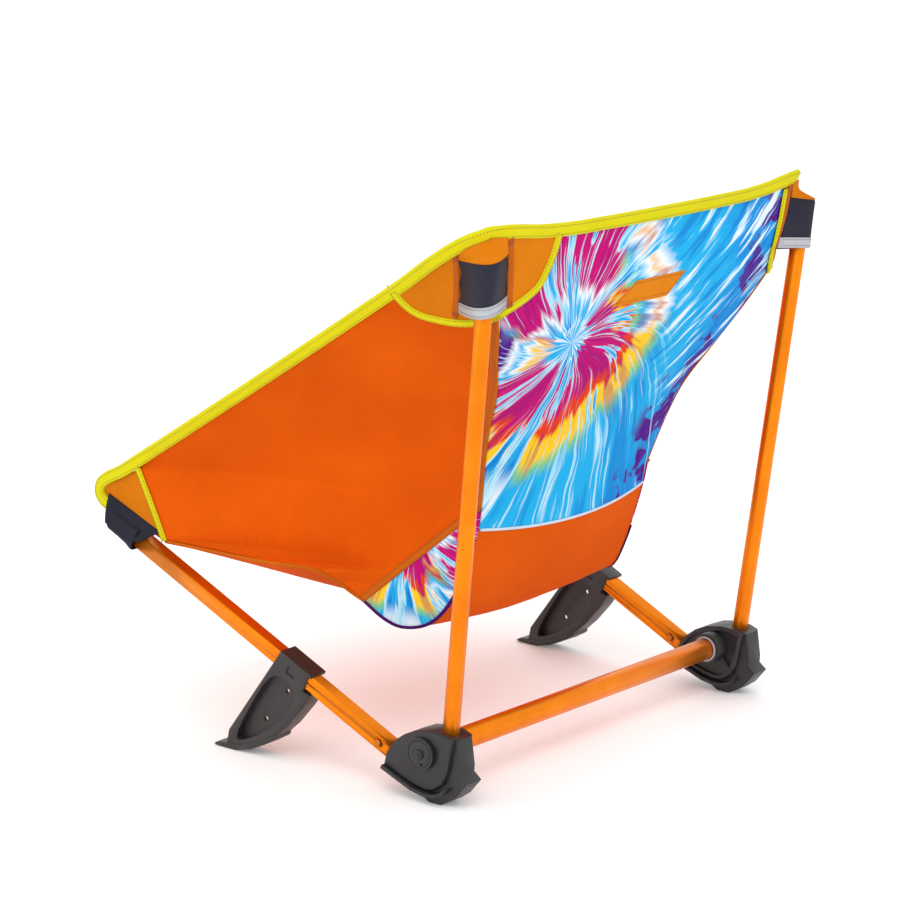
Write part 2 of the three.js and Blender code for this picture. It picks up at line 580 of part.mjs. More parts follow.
/** The seam between side and back at a height. */
function backSeam(height) {
  const f = clamp((height - seamFoot.z) / (rearCorner.z - seamFoot.z), 0, 1);
  return V(lerp(seamFoot.x, rearCorner.x, along(SEAM_ACROSS, f)),
    lerp(seamFoot.y, rearCorner.y, along(SEAM_BACK, f)), height);
}

const gussetTop = backSeam(SEAM_FOOT_HEIGHT + 25);
const railSlope = -railAlong.z / railAlong.y;
const railFaceAbove = RAIL_SIZE / 2 / Math.cos(Math.atan(railSlope));
const patchFootDrop = PATCH_FOOT_REACH * railSlope - railFaceAbove - PATCH_FOOT_CLEARANCE;
const patchFoot = railTip.clone().add(V(-5, PATCH_FOOT_REACH, -patchFootDrop));
const patchHead = frontCorner.clone().add(V(0, 54, 30));
const bindingStart = frontCorner.clone().add(V(0, 31, 20));
const meanSlope = (rearCorner.z - bindingStart.z) / (rearCorner.y - bindingStart.y);
const topEdgeSlope = meanSlope * SHOULDER_STEEPENING;

/** The side's top edge, from behind the front corner up to the rear corner, at a height. */
function topEdge(height) {
  const f = (height - bindingStart.z) / (rearCorner.z - 2 - bindingStart.z);
  const bow = Math.sin(Math.PI * clamp(f, 0, 1)) * 6;
  const across = lerp(bindingStart.x, rearCorner.x + 4, f) - bow;
  return V(across, lerp(bindingStart.y, rearCorner.y - 12, f), height);
}

/** The side panel's front and lower edge, from the gusset's front point up to the top edge. */
function sideFront(height) {
  const low = floorCorner;
  const levels = [
    [low.z, low.x, low.y],
    [lerp(low.z, patchFoot.z, 0.48), lerp(low.x, patchFoot.x, 0.2), lerp(low.y, patchFoot.y, 0.09)],
    [lerp(low.z, patchFoot.z, 0.88), lerp(low.x, patchFoot.x, 0.52), lerp(low.y, patchFoot.y, 0.15)],
    [lerp(low.z, patchFoot.z, 0.97), lerp(low.x, patchFoot.x, 0.87), lerp(low.y, patchFoot.y, 0.5)],
    [patchFoot.z, patchFoot.x, patchFoot.y],
    [patchHead.z, patchHead.x, patchHead.y],
  ];
  if (height > patchHead.z) return topEdge(height);
  let k = 0;
  while (k < levels.length - 2 && height > levels[k + 1][0]) k += 1;
  const t = (height - levels[k][0]) / (levels[k + 1][0] - levels[k][0]);
  return V(lerp(levels[k][1], levels[k + 1][1], t), lerp(levels[k][2], levels[k + 1][2], t), height);
}

/** The side panel's rear edge: up the gusset's tape, then up the back seam. */
function sideRear(height) {
  if (height > gussetTop.z) return backSeam(height);
  return floorCorner.clone().lerp(gussetTop, (height - floorCorner.z) / (gussetTop.z - floorCorner.z));
}

/** Distance that the panels keep from the corner seam, where the corner patch takes over. */
function cornerInset(height) {
  const start = rearCorner.z - 105;
  return lerp(SEAM / 2 + 0.4, CORNER_ROUND, smoothstep(height, start, start + 30));
}

/** The side wall's surface: a distance forward from the corner seam, at a height. */
function sideAt(height, distance) {
  const [front, rear] = [sideFront(height), sideRear(height)];
  const length = front.distanceTo(rear);
  const dish = 7 * Math.sin(Math.PI * clamp(distance / length, 0, 1)) * Math.min(1, length / 200);
  return rear.lerp(front, distance / length).add(V(-dish, 0, 0));
}

/** A point on the side panel: h from 0 at its rear edge to 1 at its front edge, by height. */
function sideWall(h, height) {
  const length = sideFront(height).distanceTo(sideRear(height));
  const trim = lerp(SEAM * 2.4, BINDING_WIDTH * 0.85, smoothstep(height, patchHead.z - 4, patchHead.z + 4));
  const from = Math.min(cornerInset(height), length * 0.45);
  const to = length - Math.min(trim, length * 0.2);
  return sideAt(height, lerp(from, to, h));
}

/** The back wall's surface: a distance across from the middle, at a height. */
function backAt(height, x) {
  const corner = backSeam(height);
  return V(x, corner.y + BACK_BULGE * (1 - (x / corner.x) ** 2), height);
}

/** Height of the back's top edge, across from -1 to 1 between the rear corners. */
function backTop(k) {
  return rearCorner.z + lerp(-1, 6, smoothstep(Math.abs(k), 0.6, 0.95));
}

/** Height of the seam under the back panel. */
function backFoot(k) {
  return seamFoot.z - 9 * (1 - k * k);
}

/** A point on the back wall: k from -1 to 1 across, by height. */
function backWall(k, height) {
  const corner = backSeam(height);
  const inset = Math.min(cornerInset(height), corner.x * 0.4);
  return backAt(height, (corner.x - inset) * k);
}

// ---------------------------------------------------------------- seat: panels

const sideLow = floorCorner.z + 2.5;
const sideHigh = rearCorner.z - 26;
pair('side_panel', plate((u, v) => sideWall(u, lerp(sideLow, sideHigh, v ** 1.6)), 8, 18, FABRIC), CANVAS);

piece('back_panel', plate((u, v) => {
  const k = lerp(1, -1, u);
  return backWall(k, lerp(backFoot(k) + SEAM, backTop(k) - BINDING_WIDTH, v));
}, 14, 12, FABRIC), PRINTED);

/** The end of the front hem, beside the rail's tip and inside its pocket. */
const hemEnd = railTip.clone().add(V(-RAIL_SIZE - POCKET_WALL + 3.6, 10, RAIL_SIZE / 4 - 2));

/** The seat floor's side edge, from the foot of the back seam forward to the front hem. */
const floorEdge = new THREE.CatmullRomCurve3([
  seamFoot.clone().add(V(0, 0, -SEAM)),
  seamFoot.clone().add(V(3, -25, -65)),
  seamFoot.clone().add(V(14, -49, -101)),
  seamFoot.clone().add(V(26, -74, -107)),
  floorCorner.clone().add(V(-10, 20, -20)),
  floorCorner.clone().add(V(0, 0, -2.4)),
  ...[0.25, 0.48, 0.7, 0.88, 0.95].map((f) =>
    sideFront(lerp(floorCorner.z, patchFoot.z, f)).add(V(0, -1, -5))),
  patchFoot.clone().add(V(-1, 0, -2.6)),
  hemEnd,
], false, 'centripetal');

/** The seat floor's middle line, from the back panel's seam down and forward to the hem. */
const floorMiddle = new THREE.CatmullRomCurve3([
  V(0, backWall(0, backFoot(0)).y, backFoot(0) - SEAM),
  V(0, seamFoot.y - 14, lerp(seamFoot.z, FLOOR_HEIGHT, 0.5)),
  V(0, seamFoot.y - 46, lerp(seamFoot.z, FLOOR_HEIGHT, 0.86)),
  V(0, floorCorner.y + 27, FLOOR_HEIGHT + 4),
  V(0, floorCorner.y - 8, FLOOR_HEIGHT),
  V(0, lerp(floorCorner.y, hemEnd.y, 0.45), FLOOR_HEIGHT + 8),
  V(0, lerp(floorCorner.y, hemEnd.y, 0.8), lerp(FLOOR_HEIGHT, hemEnd.z - HEM_SAG, 0.62)),
  V(0, hemEnd.y + 14, hemEnd.z - HEM_SAG),
], false, 'centripetal');

/** A point on the seat floor: k from -1 to 1 across, v from the back seam to the hem. */
function floorWall(k, v) {
  const edge = floorEdge.getPoint(v);
  const middle = floorMiddle.getPoint(v);
  const a = Math.abs(k);
  const climb = a ** lerp(2.4, 1.7, smoothstep(v, 0, 0.6));
  return V((edge.x - 1) * k, lerp(middle.y, edge.y, a ** 2), lerp(middle.z, edge.z, climb));
}

piece('seat_floor', plate((u, v) => floorWall(lerp(1, -1, u), lerp(0.995, 0, v)), 16, 20, FABRIC), CANVAS);

/** The gusset at the rear lower corner: its tape edge and its scooped lower edge. */
const scoop = new THREE.CatmullRomCurve3([
  floorCorner.clone(),
  floorCorner.clone().add(V(-10, 20, -18)),
  seamFoot.clone().add(V(26, -72, -104)),
  seamFoot.clone().add(V(14, -47, -98)),
  seamFoot.clone().add(V(3.5, -23, -65)),
  seamFoot.clone().add(V(0.5, 1, 1)),
  gussetTop.clone(),
], false, 'centripetal');
pair('gusset', plate((u, v) => {
  const t = lerp(0.05, 0.93, u);
  const tape = floorCorner.clone().lerp(gussetTop, t);
  const hem = scoop.getPoint(t);
  const swell = 4 * Math.sin(Math.PI * v) * Math.sin(Math.PI * t);
  const near = Math.min(0.3, 2.4 / Math.max(tape.distanceTo(hem), 1));
  return hem.lerp(tape, lerp(near, 1 - near, v)).add(V(swell, swell * 0.4, 0));
}, 12, 6, FABRIC), PRINTED);

/** The front corner patch: diagonal tape behind, rounded corner in front, rail pocket below. */
pair('front_corner_patch', plate((u, v) => {
  const rear = patchFoot.clone().add(V(0, -1.6, 5)).lerp(patchHead.clone().add(V(0, -1.6, -7)), v);
  const low = frontCorner.clone().add(V(0, 17, -8.5));
  const high = frontCorner.clone().add(V(0, 13, 1));
  return rear.lerp(low.lerp(high, v), u);
}, 6, 4, FABRIC), PATCH);

/** Rear corner: the patch's depth below the top edge, by distance from the corner along the wall. */
const PATCH_DEPTH = [[-106, 18.5], [-66, 60], [-10, 101], [15, 90], [45, 71], [72, 38.5], [84, 12.5]];

/** A point on the wall round the rear corner: a along the wall, negative on the side. */
function cornerWall(a, height) {
  const corner = backSeam(height);
  const onSide = (d) => sideAt(height, d);
  const onBack = (d) => backAt(height, corner.x - d);
  if (a < -CORNER_ROUND) return onSide(-a);
  if (a > CORNER_ROUND) return onBack(a);
  const t = (a + CORNER_ROUND) / (2 * CORNER_ROUND);
  const [p0, p1] = [onSide(CORNER_ROUND), onBack(CORNER_ROUND)];
  const q = p0.clone().lerp(corner, t);
  return q.lerp(corner.clone().lerp(p1, t), t);
}

/** Height of the top edge above the wall at a distance a from the corner. */
function cornerTop(a) {
  if (a >= 0) return backTop(1 - a / rearCorner.x);
  return backTop(1) - Math.max(0, -a - 10) * topEdgeSlope;
}

const patchLift = FABRIC + SEAM / 2;
const bindingDrop = 3;
const patchTrim = bindingDrop + BINDING_WIDTH / 2 * Math.hypot(1, topEdgeSlope) ** 2 + SEAM / 3;
pair('rear_corner_patch', plate((u, v) => {
  const a = lerp(84, -100, u);
  const low = cornerTop(a) - along(PATCH_DEPTH, a);
  const high = Math.max(cornerTop(a) - patchTrim, low + 4);
  return cornerWall(a, lerp(low, high, v));
}, 20, 5, FABRIC, patchLift), PATCH);

/** Binding: a folded tape over an edge, as a flat bar that follows it. */
function bindingBar(points, steps) {
  const path = new THREE.CatmullRomCurve3(points, false, 'centripetal');
  const [t, w] = [BINDING_THICKNESS / 2, BINDING_WIDTH / 2];
  const place = (s, around) => {
    const p = path.getPointAt(s);
    const tangent = path.getTangentAt(s);
    const out = tangent.clone().cross(V(0, 0, 1)).normalize();
    const up = out.clone().cross(tangent).normalize();
    const a = around * Math.PI * 2;
    const square = (x) => Math.sign(x) * Math.abs(x) ** 0.5;
    return p.addScaledVector(out, t * square(Math.cos(a))).addScaledVector(up, w * square(Math.sin(a)));
  };
  const around = 8;
  const positions = [];
  const index = [];
  for (let i = 0; i <= steps; i += 1) {
    for (let j = 0; j < around; j += 1) positions.push(...place(i / steps, j / around).toArray());
  }
  for (let i = 0; i < steps; i += 1) {
    for (let j = 0; j < around; j += 1) {
      const [a, b] = [i * around + j, i * around + ((j + 1) % around)];
      index.push(a, a + around, b, b, a + around, b + around);
    }
  }
  const last = steps * around;
  for (let j = 1; j < around - 1; j += 1) {
    index.push(0, j, j + 1);
    index.push(last, last + j + 1, last + j);
  }
  const geometry = new THREE.BufferGeometry();
  geometry.setAttribute('position', new THREE.Float32BufferAttribute(positions, 3));
  geometry.setIndex(index);
  return geometry;
}

const lift = V(1.2, 0, 1.6);
const bindingAt = (a) => cornerWall(a, rearCorner.z - 3).setZ(cornerTop(a) - bindingDrop);
const sideBinding = [
  frontCorner.clone().add(V(0, 13, -13)),
  frontCorner.clone().add(V(0, 1, -3)),
  frontCorner.clone().add(V(0, 9, 11)),
  bindingStart.clone().add(lift),
  ...[0.12, 0.35, 0.6, 0.82].map((f) => topEdge(lerp(bindingStart.z, rearCorner.z, f)).add(lift)),
  ...[-44, -28, -14, -4].map(bindingAt),
];
pair('side_binding', bindingBar(sideBinding, 30), TAPE);

const backBinding = [3, 14, 26, 44].map(bindingAt);
for (let i = 1; i < 10; i += 1) {
  const k = lerp(0.8, -0.8, i / 10);
  backBinding.push(backAt(backTop(k), k * rearCorner.x).setZ(backTop(k) - 3));
}
backBinding.push(...backBinding.slice(0, 4).reverse().map((p) => V(-p.x, p.y, p.z)));
piece('back_binding', bindingBar(backBinding, 34), TAPE);

// ---------------------------------------------------------------- seat: pole pockets and trim

/** The black sleeve that the upright's tip sits in: a half tube with a flat flange each side. */
function buildRearPocket() {
  const room = UPRIGHT_DIAMETER / 2 + 0.6;
  const shell = room + POCKET_WALL;
  const flange = REAR_POCKET_WIDTH / 2;
  const base = UPRIGHT_LENGTH - REAR_POCKET_LENGTH + 12;
  const outline = (radius, wide) => {
    const shape = new THREE.Shape();
    shape.moveTo(-wide, -room);
    shape.lineTo(wide, -room);
    if (wide > radius) {
      shape.lineTo(wide, -room + POCKET_WALL);
      shape.lineTo(radius, -room + POCKET_WALL);
    }
    shape.lineTo(radius, 0);
    shape.absarc(0, 0, radius, 0, Math.PI, false);
    if (wide > radius) {
      shape.lineTo(-radius, -room + POCKET_WALL);
      shape.lineTo(-wide, -room + POCKET_WALL);
    }
    return shape;
  };
  const options = { bevelEnabled: false, curveSegments: 12 };
  const sleeve = new THREE.ExtrudeGeometry(outline(shell, flange), { ...options, depth: REAR_POCKET_LENGTH });
  const bore = new THREE.CylinderGeometry(room - 0.05, room - 0.05, REAR_POCKET_LENGTH, 32)
    .rotateX(Math.PI / 2).translate(0, 0.0, REAR_POCKET_LENGTH / 2 - POCKET_WALL - 2);
  const strip = new THREE.ExtrudeGeometry(outline(shell + 1.1, flange - 1), { ...options, depth: 8 });
  const hollowOutline = outline(shell + FIT_GAP, flange + 1);
  const stripHollow = new THREE.ExtrudeGeometry(hollowOutline, { ...options, depth: 12 });
  stripHollow.translate(0, 0.0, -2);
  const stripBack = new THREE.BoxGeometry(90, 20, 40).translate(0, -room + POCKET_WALL + FIT_GAP - 10, 0);
  // The pocket faces out and back, along the corner's diagonal.
  const facing = V(0.62, 0.78, 0).normalize();
  const outDirection = facing.clone().addScaledVector(uprightAlong, -facing.dot(uprightAlong)).normalize();
  const sideways = outDirection.clone().cross(uprightAlong).normalize();
  const frame = new THREE.Matrix4().makeBasis(sideways, outDirection, uprightAlong);
  frame.setPosition(uprightFoot.clone().addScaledVector(uprightAlong, base));
  const pocket = geometryOf(cut(solid(sleeve), bore));
  const band = geometryOf(cut(solid(strip), stripHollow, stripBack));
  return [pocket.applyMatrix4(frame), band.applyMatrix4(frame)];
}

const [rearPocket, reflectiveBand] = buildRearPocket();
pair('rear_pocket', rearPocket, SLEEVE);
pair('reflective_band', reflectiveBand, REFLECTIVE);

/** A plain cloth label on the back panel, a slanted parallelogram. */
piece('back_label', plate((u, v) => {
  const height = rearCorner.z - 90 + LABEL_HEIGHT * v;
  const x = lerp(51, 51 - LABEL_LENGTH, u) - 24 * v;
  return backAt(height, x);
}, 6, 2, 0.8, FABRIC / 2 + 0.8), PATCH);

// ---------------------------------------------------------------- stand the chair over its footprint

chair.updateMatrixWorld(true);
const box = new THREE.Box3().setFromObject(chair, true);
chair.position.set(-(box.min.x + box.max.x) / 2, -(box.min.y + box.max.y) / 2, -box.min.z);

export default chair;
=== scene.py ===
# %% [markdown]
# # A packable camp chair
# The chair is two black hubs on a crossbar, two round uprights, two square seat rails with sliding
# feet, and a bucket seat of orange canvas with a tie-dyed back. The hard parts come from the packed
# model. Everything that is sewn is made here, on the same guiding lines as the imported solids.

import json
import math

import bmesh
import bpy
import numpy as np
from mathutils import Matrix, Vector
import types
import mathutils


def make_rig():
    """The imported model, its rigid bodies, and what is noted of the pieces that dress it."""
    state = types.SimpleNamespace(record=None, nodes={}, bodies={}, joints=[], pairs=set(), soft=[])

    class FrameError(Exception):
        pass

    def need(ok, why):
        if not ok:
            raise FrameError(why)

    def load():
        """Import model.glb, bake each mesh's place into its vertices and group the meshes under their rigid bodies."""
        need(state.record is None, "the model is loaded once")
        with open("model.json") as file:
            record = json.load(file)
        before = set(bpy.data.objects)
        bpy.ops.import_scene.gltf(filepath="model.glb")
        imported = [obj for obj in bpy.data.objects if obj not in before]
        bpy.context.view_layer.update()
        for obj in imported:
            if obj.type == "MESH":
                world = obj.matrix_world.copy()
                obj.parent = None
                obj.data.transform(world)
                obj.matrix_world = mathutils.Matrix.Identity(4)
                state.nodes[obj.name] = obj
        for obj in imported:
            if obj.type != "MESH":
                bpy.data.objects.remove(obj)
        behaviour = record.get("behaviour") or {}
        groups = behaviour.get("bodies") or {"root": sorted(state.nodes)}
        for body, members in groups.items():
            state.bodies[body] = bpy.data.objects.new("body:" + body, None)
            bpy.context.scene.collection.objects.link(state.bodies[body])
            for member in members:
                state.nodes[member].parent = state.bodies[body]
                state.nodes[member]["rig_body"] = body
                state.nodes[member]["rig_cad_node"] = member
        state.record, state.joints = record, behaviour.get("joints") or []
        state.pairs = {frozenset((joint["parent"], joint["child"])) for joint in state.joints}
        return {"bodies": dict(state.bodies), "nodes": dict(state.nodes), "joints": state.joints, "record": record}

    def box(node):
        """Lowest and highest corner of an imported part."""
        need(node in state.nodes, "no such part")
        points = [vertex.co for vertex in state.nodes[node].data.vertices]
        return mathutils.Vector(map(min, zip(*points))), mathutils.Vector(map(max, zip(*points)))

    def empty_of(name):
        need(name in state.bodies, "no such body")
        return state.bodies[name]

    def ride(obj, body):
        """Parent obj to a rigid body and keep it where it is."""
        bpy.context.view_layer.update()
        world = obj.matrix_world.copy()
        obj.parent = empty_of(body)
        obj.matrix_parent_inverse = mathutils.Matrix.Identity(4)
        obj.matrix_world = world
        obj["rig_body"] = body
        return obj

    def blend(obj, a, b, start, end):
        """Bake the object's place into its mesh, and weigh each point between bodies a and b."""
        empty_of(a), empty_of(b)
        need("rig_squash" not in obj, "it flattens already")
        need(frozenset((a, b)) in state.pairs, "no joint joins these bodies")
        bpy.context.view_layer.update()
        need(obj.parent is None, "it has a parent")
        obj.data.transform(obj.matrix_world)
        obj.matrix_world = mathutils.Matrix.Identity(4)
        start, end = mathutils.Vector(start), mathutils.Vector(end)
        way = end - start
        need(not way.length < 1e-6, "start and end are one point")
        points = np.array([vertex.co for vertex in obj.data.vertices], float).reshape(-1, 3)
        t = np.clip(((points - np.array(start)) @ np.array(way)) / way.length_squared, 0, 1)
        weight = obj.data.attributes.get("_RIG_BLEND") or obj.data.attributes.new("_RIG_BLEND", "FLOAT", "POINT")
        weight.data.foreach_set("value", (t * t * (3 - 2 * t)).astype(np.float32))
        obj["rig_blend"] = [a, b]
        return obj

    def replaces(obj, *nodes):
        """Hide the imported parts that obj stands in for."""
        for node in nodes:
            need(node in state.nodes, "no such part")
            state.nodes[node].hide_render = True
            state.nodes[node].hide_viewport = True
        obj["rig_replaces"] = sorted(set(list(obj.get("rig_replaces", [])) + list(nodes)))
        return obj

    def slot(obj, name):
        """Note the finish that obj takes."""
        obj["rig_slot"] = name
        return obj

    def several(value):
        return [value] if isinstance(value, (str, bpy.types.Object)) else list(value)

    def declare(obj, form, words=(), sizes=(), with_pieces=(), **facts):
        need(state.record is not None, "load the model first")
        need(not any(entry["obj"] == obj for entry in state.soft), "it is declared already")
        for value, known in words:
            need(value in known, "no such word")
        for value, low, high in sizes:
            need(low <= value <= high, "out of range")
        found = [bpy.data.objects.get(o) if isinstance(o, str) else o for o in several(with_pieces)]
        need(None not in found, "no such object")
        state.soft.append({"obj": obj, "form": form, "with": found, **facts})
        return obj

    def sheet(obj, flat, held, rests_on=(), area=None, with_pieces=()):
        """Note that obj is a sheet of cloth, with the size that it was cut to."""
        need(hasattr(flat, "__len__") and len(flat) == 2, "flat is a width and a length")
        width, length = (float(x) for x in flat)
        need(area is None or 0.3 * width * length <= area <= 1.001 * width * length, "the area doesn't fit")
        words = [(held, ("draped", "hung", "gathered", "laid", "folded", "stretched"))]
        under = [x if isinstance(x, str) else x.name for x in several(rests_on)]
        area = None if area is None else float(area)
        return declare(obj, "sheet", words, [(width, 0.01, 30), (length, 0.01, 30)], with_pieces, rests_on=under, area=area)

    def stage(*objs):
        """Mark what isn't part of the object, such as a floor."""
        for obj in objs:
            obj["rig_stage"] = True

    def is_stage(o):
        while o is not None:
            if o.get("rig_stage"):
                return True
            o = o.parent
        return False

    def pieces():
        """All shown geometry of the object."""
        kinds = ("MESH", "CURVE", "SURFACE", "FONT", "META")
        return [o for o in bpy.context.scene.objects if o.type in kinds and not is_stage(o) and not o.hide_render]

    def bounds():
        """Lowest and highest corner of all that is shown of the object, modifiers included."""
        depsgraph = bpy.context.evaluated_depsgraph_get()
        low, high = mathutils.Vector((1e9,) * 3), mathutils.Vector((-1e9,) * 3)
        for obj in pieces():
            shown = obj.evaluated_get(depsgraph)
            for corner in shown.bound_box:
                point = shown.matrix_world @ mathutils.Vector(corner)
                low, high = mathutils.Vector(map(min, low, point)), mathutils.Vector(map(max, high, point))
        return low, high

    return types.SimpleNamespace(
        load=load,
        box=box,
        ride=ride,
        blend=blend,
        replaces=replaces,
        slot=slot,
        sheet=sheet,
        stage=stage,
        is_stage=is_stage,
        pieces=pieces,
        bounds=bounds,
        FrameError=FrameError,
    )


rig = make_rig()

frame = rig.load()
cad_box = [list(corner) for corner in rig.bounds()]
print("bodies:", sorted(frame["bodies"]), "nodes:", len(frame["nodes"]))

# %% [markdown]
# ## Camera
# A long lens from behind the chair's left shoulder, a little above the seat, keeps the uprights
# almost parallel. The camera turns by a matrix, so that its slight roll can be set in degrees.

# %% Camera
CAMERA_PLACE = Vector((2.5011, 2.0450, 1.0129))
CAMERA_AIM = Vector((-0.753650, -0.617702, -0.224626))
CAMERA_ROLL = math.radians(0.536)

camera = bpy.data.objects.new("camera", bpy.data.cameras.new("camera"))
bpy.context.scene.collection.objects.link(camera)
level = CAMERA_AIM.cross(Vector((0, 0, 1))).normalized()
above = level.cross(CAMERA_AIM)
right = level * math.cos(CAMERA_ROLL) + above * math.sin(CAMERA_ROLL)
upward = above * math.cos(CAMERA_ROLL) - level * math.sin(CAMERA_ROLL)
camera.matrix_world = Matrix.Translation(CAMERA_PLACE) @ Matrix((right, upward, -CAMERA_AIM)).transposed().to_4x4()
camera.data.lens = 132.16
camera.data.sensor_width = 36
camera.data.clip_end = 50
bpy.context.scene.camera = camera
bpy.context.scene.view_settings.view_transform = "Standard"
print("camera at", tuple(round(c, 3) for c in camera.location))

# %% [markdown]
# ## Shader maths as Python
# A finish is a small network of nodes. `Field` wraps one socket and turns Python's operators into
# Math nodes, so a weave can be written as a formula. `Finish` makes every other node from its type,
# its settings and the values or links of its sockets.

# %% Field and Finish
class Field:
    """One number that varies over a surface."""

    def __init__(self, finish, socket):
        self.finish = finish
        self.socket = socket

    def math(self, operation, *others, clamp=False):
        node = self.finish.node("ShaderNodeMath", {"operation": operation, "use_clamp": clamp},
                                {i: value for i, value in enumerate((self, *others))})
        return Field(self.finish, node.outputs[0])

    def flipped(self, operation, first):
        node = self.finish.node("ShaderNodeMath", {"operation": operation}, {0: first, 1: self})
        return Field(self.finish, node.outputs[0])

    def __add__(self, other):
        return self.math("ADD", other)

    def __sub__(self, other):
        return self.math("SUBTRACT", other)

    def __mul__(self, other):
        return self.math("MULTIPLY", other)

    def __truediv__(self, other):
        return self.math("DIVIDE", other)

    def __pow__(self, other):
        return self.math("POWER", other)

    def __gt__(self, other):
        return self.math("GREATER_THAN", other)

    def __lt__(self, other):
        return self.math("LESS_THAN", other)

    def __neg__(self):
        return self.math("MULTIPLY", -1.0)

    def __radd__(self, other):
        return self.flipped("ADD", other)

    def __rsub__(self, other):
        return self.flipped("SUBTRACT", other)

    def __rmul__(self, other):
        return self.flipped("MULTIPLY", other)

    def __rtruediv__(self, other):
        return self.flipped("DIVIDE", other)

    def sin(self):
        return self.math("SINE")

    def cos(self):
        return self.math("COSINE")

    def size(self):
        return self.math("ABSOLUTE")

    def step(self, low, high):
        """0 below low, 1 above high, and a smooth rise between them."""
        node = self.finish.node("ShaderNodeMapRange", {"interpolation_type": "SMOOTHSTEP"},
                                {"Value": self, "From Min": low, "From Max": high})
        return Field(self.finish, node.outputs["Result"])


class Finish:
    """A material and the nodes that make it."""

    def __init__(self, name, **constants):
        self.material = bpy.data.materials.new(name)
        self.material.use_nodes = True
        self.tree = self.material.node_tree
        self.surface = self.tree.nodes["Principled BSDF"]
        for socket, value in constants.items():
            self.surface.inputs[socket.replace("_", " ")].default_value = value

    def node(self, kind, settings=None, values=None):
        node = self.tree.nodes.new(kind)
        for key, value in (settings or {}).items():
            if key == "stops":
                self.set_stops(node.color_ramp, value)
            else:
                setattr(node, key, value)
        for key, value in (values or {}).items():
            self.feed(node.inputs[key], value)
        return node

    def set_stops(self, ramp, stops):
        while len(ramp.elements) < len(stops):
            ramp.elements.new(0.5)
        for element, (place, colour) in zip(ramp.elements, stops):
            element.position = place
            element.color = (*colour, 1.0)

    def feed(self, socket, value):
        if isinstance(value, Field):
            self.tree.links.new(value.socket, socket)
        elif isinstance(value, bpy.types.NodeSocket):
            self.tree.links.new(value, socket)
        else:
            socket.default_value = value

    def put(self, socket, value):
        self.feed(self.surface.inputs[socket], value)

    def object_place(self):
        return self.node("ShaderNodeTexCoord").outputs["Object"]

    def split(self, vector):
        node = self.node("ShaderNodeSeparateXYZ", None, {0: vector})
        return [Field(self, socket) for socket in node.outputs]

    def merge(self, x, y, z=0.0):
        return self.node("ShaderNodeCombineXYZ", None, {0: x, 1: y, 2: z}).outputs[0]

    def cloth_place(self):
        """Metres along and across the cloth, from its own UV map."""
        vector = self.node("ShaderNodeUVMap", {"uv_map": "cloth"}).outputs["UV"]
        return self.split(vector)[:2]

    def noise(self, vector, scale, detail=2.0, roughness=0.5, distortion=0.0):
        node = self.node("ShaderNodeTexNoise", None, {
            "Vector": vector, "Scale": scale, "Detail": detail, "Roughness": roughness,
            "Distortion": distortion,
        })
        return Field(self, node.outputs["Fac"])

    def ramp(self, value, stops, interpolation="LINEAR"):
        node = self.node("ShaderNodeValToRGB", {"stops": stops}, {"Fac": value})
        node.color_ramp.interpolation = interpolation
        return node.outputs["Color"]

    def mix(self, share, first, second):
        pad = lambda c: (*c, 1.0) if isinstance(c, tuple) and len(c) == 3 else c
        node = self.node("ShaderNodeMix", {"data_type": "RGBA"}, {0: share, 6: pad(first), 7: pad(second)})
        return node.outputs[2]

    def bump(self, height, distance, strength=1.0):
        node = self.node("ShaderNodeBump", None, {
            "Height": height, "Distance": distance, "Strength": strength,
        })
        self.put("Normal", node.outputs["Normal"])


print("shader helpers ready")

# %% [markdown]
# ## Hard finishes
# The poles are drawn aluminium, anodised orange: fine lines run along the tube and the dye pools a
# little unevenly. The hubs and feet are moulded nylon with a spark-eroded grain, scuffed where they
# touch the ground. The rivets are steel anodised orange, and the axle heads are blackened steel.

# %% Anodised tube
def anodised(name, along):
    """Orange anodising; `along` stretches the drawing lines along an axis of the chair."""
    finish = Finish(name, Metallic=0.80, Specular_IOR_Level=0.4)
    place = finish.object_place()
    x, y, z = finish.split(place)
    lines = finish.noise(finish.merge(x * along[0], y * along[1], z * along[2]), 1.0, 3.0, 0.6)
    pools = finish.noise(place, 22.0, 2.0)
    tone = (lines * 0.35 + pools * 0.65).step(0.3, 0.72)
    finish.put("Base Color", finish.mix(tone, (0.76, 0.185, 0.002), (0.88, 0.245, 0.003)))
    finish.put("Roughness", lines * 0.10 + 0.27)
    finish.bump(lines, 0.00004, 0.5)
    return finish.material


TUBE_LINES = (2600.0, 2600.0, 40.0)
RAIL_LINES = (2600.0, 90.0, 1800.0)
BAR_LINES = (30.0, 2600.0, 2600.0)
upright_finish = anodised("anodised_upright", TUBE_LINES)
rail_finish = anodised("anodised_rail", RAIL_LINES)
bar_finish = anodised("anodised_crossbar", BAR_LINES)

# %% Moulded nylon
def moulded(name, base, scuff):
    finish = Finish(name, Specular_IOR_Level=0.45)
    place = finish.object_place()
    height = finish.split(place)[2]
    grain = finish.noise(place, 2600.0, 2.0)
    cloud = finish.noise(place, 45.0, 4.0, 0.6)
    scratch = finish.noise(place, 420.0, 5.0, 0.75, 0.6).step(0.60, 0.72)
    near_ground = 1 - height.step(0.001, 0.016)
    worn = (near_ground * 0.55 + 0.10) * scratch + near_ground * cloud.step(0.45, 0.75) * 0.30
    finish.put("Base Color", finish.mix(worn.math("MINIMUM", 1.0), base, scuff))
    finish.put("Roughness", cloud * 0.16 + worn * 0.20 + 0.33)
    finish.bump(grain * 0.6 + scratch * 0.4, 0.00005, 0.6)
    return finish.material


nylon = moulded("moulded_nylon", (0.016, 0.016, 0.018), (0.11, 0.10, 0.095))
# The feet take a copy of the nylon made a little lighter and redder, with a warmer scuff: painted orange reflection
# from the poles.
foot_nylon_painted_reflection = moulded("moulded_nylon_foot", (0.022, 0.019, 0.019), (0.12, 0.10, 0.09))

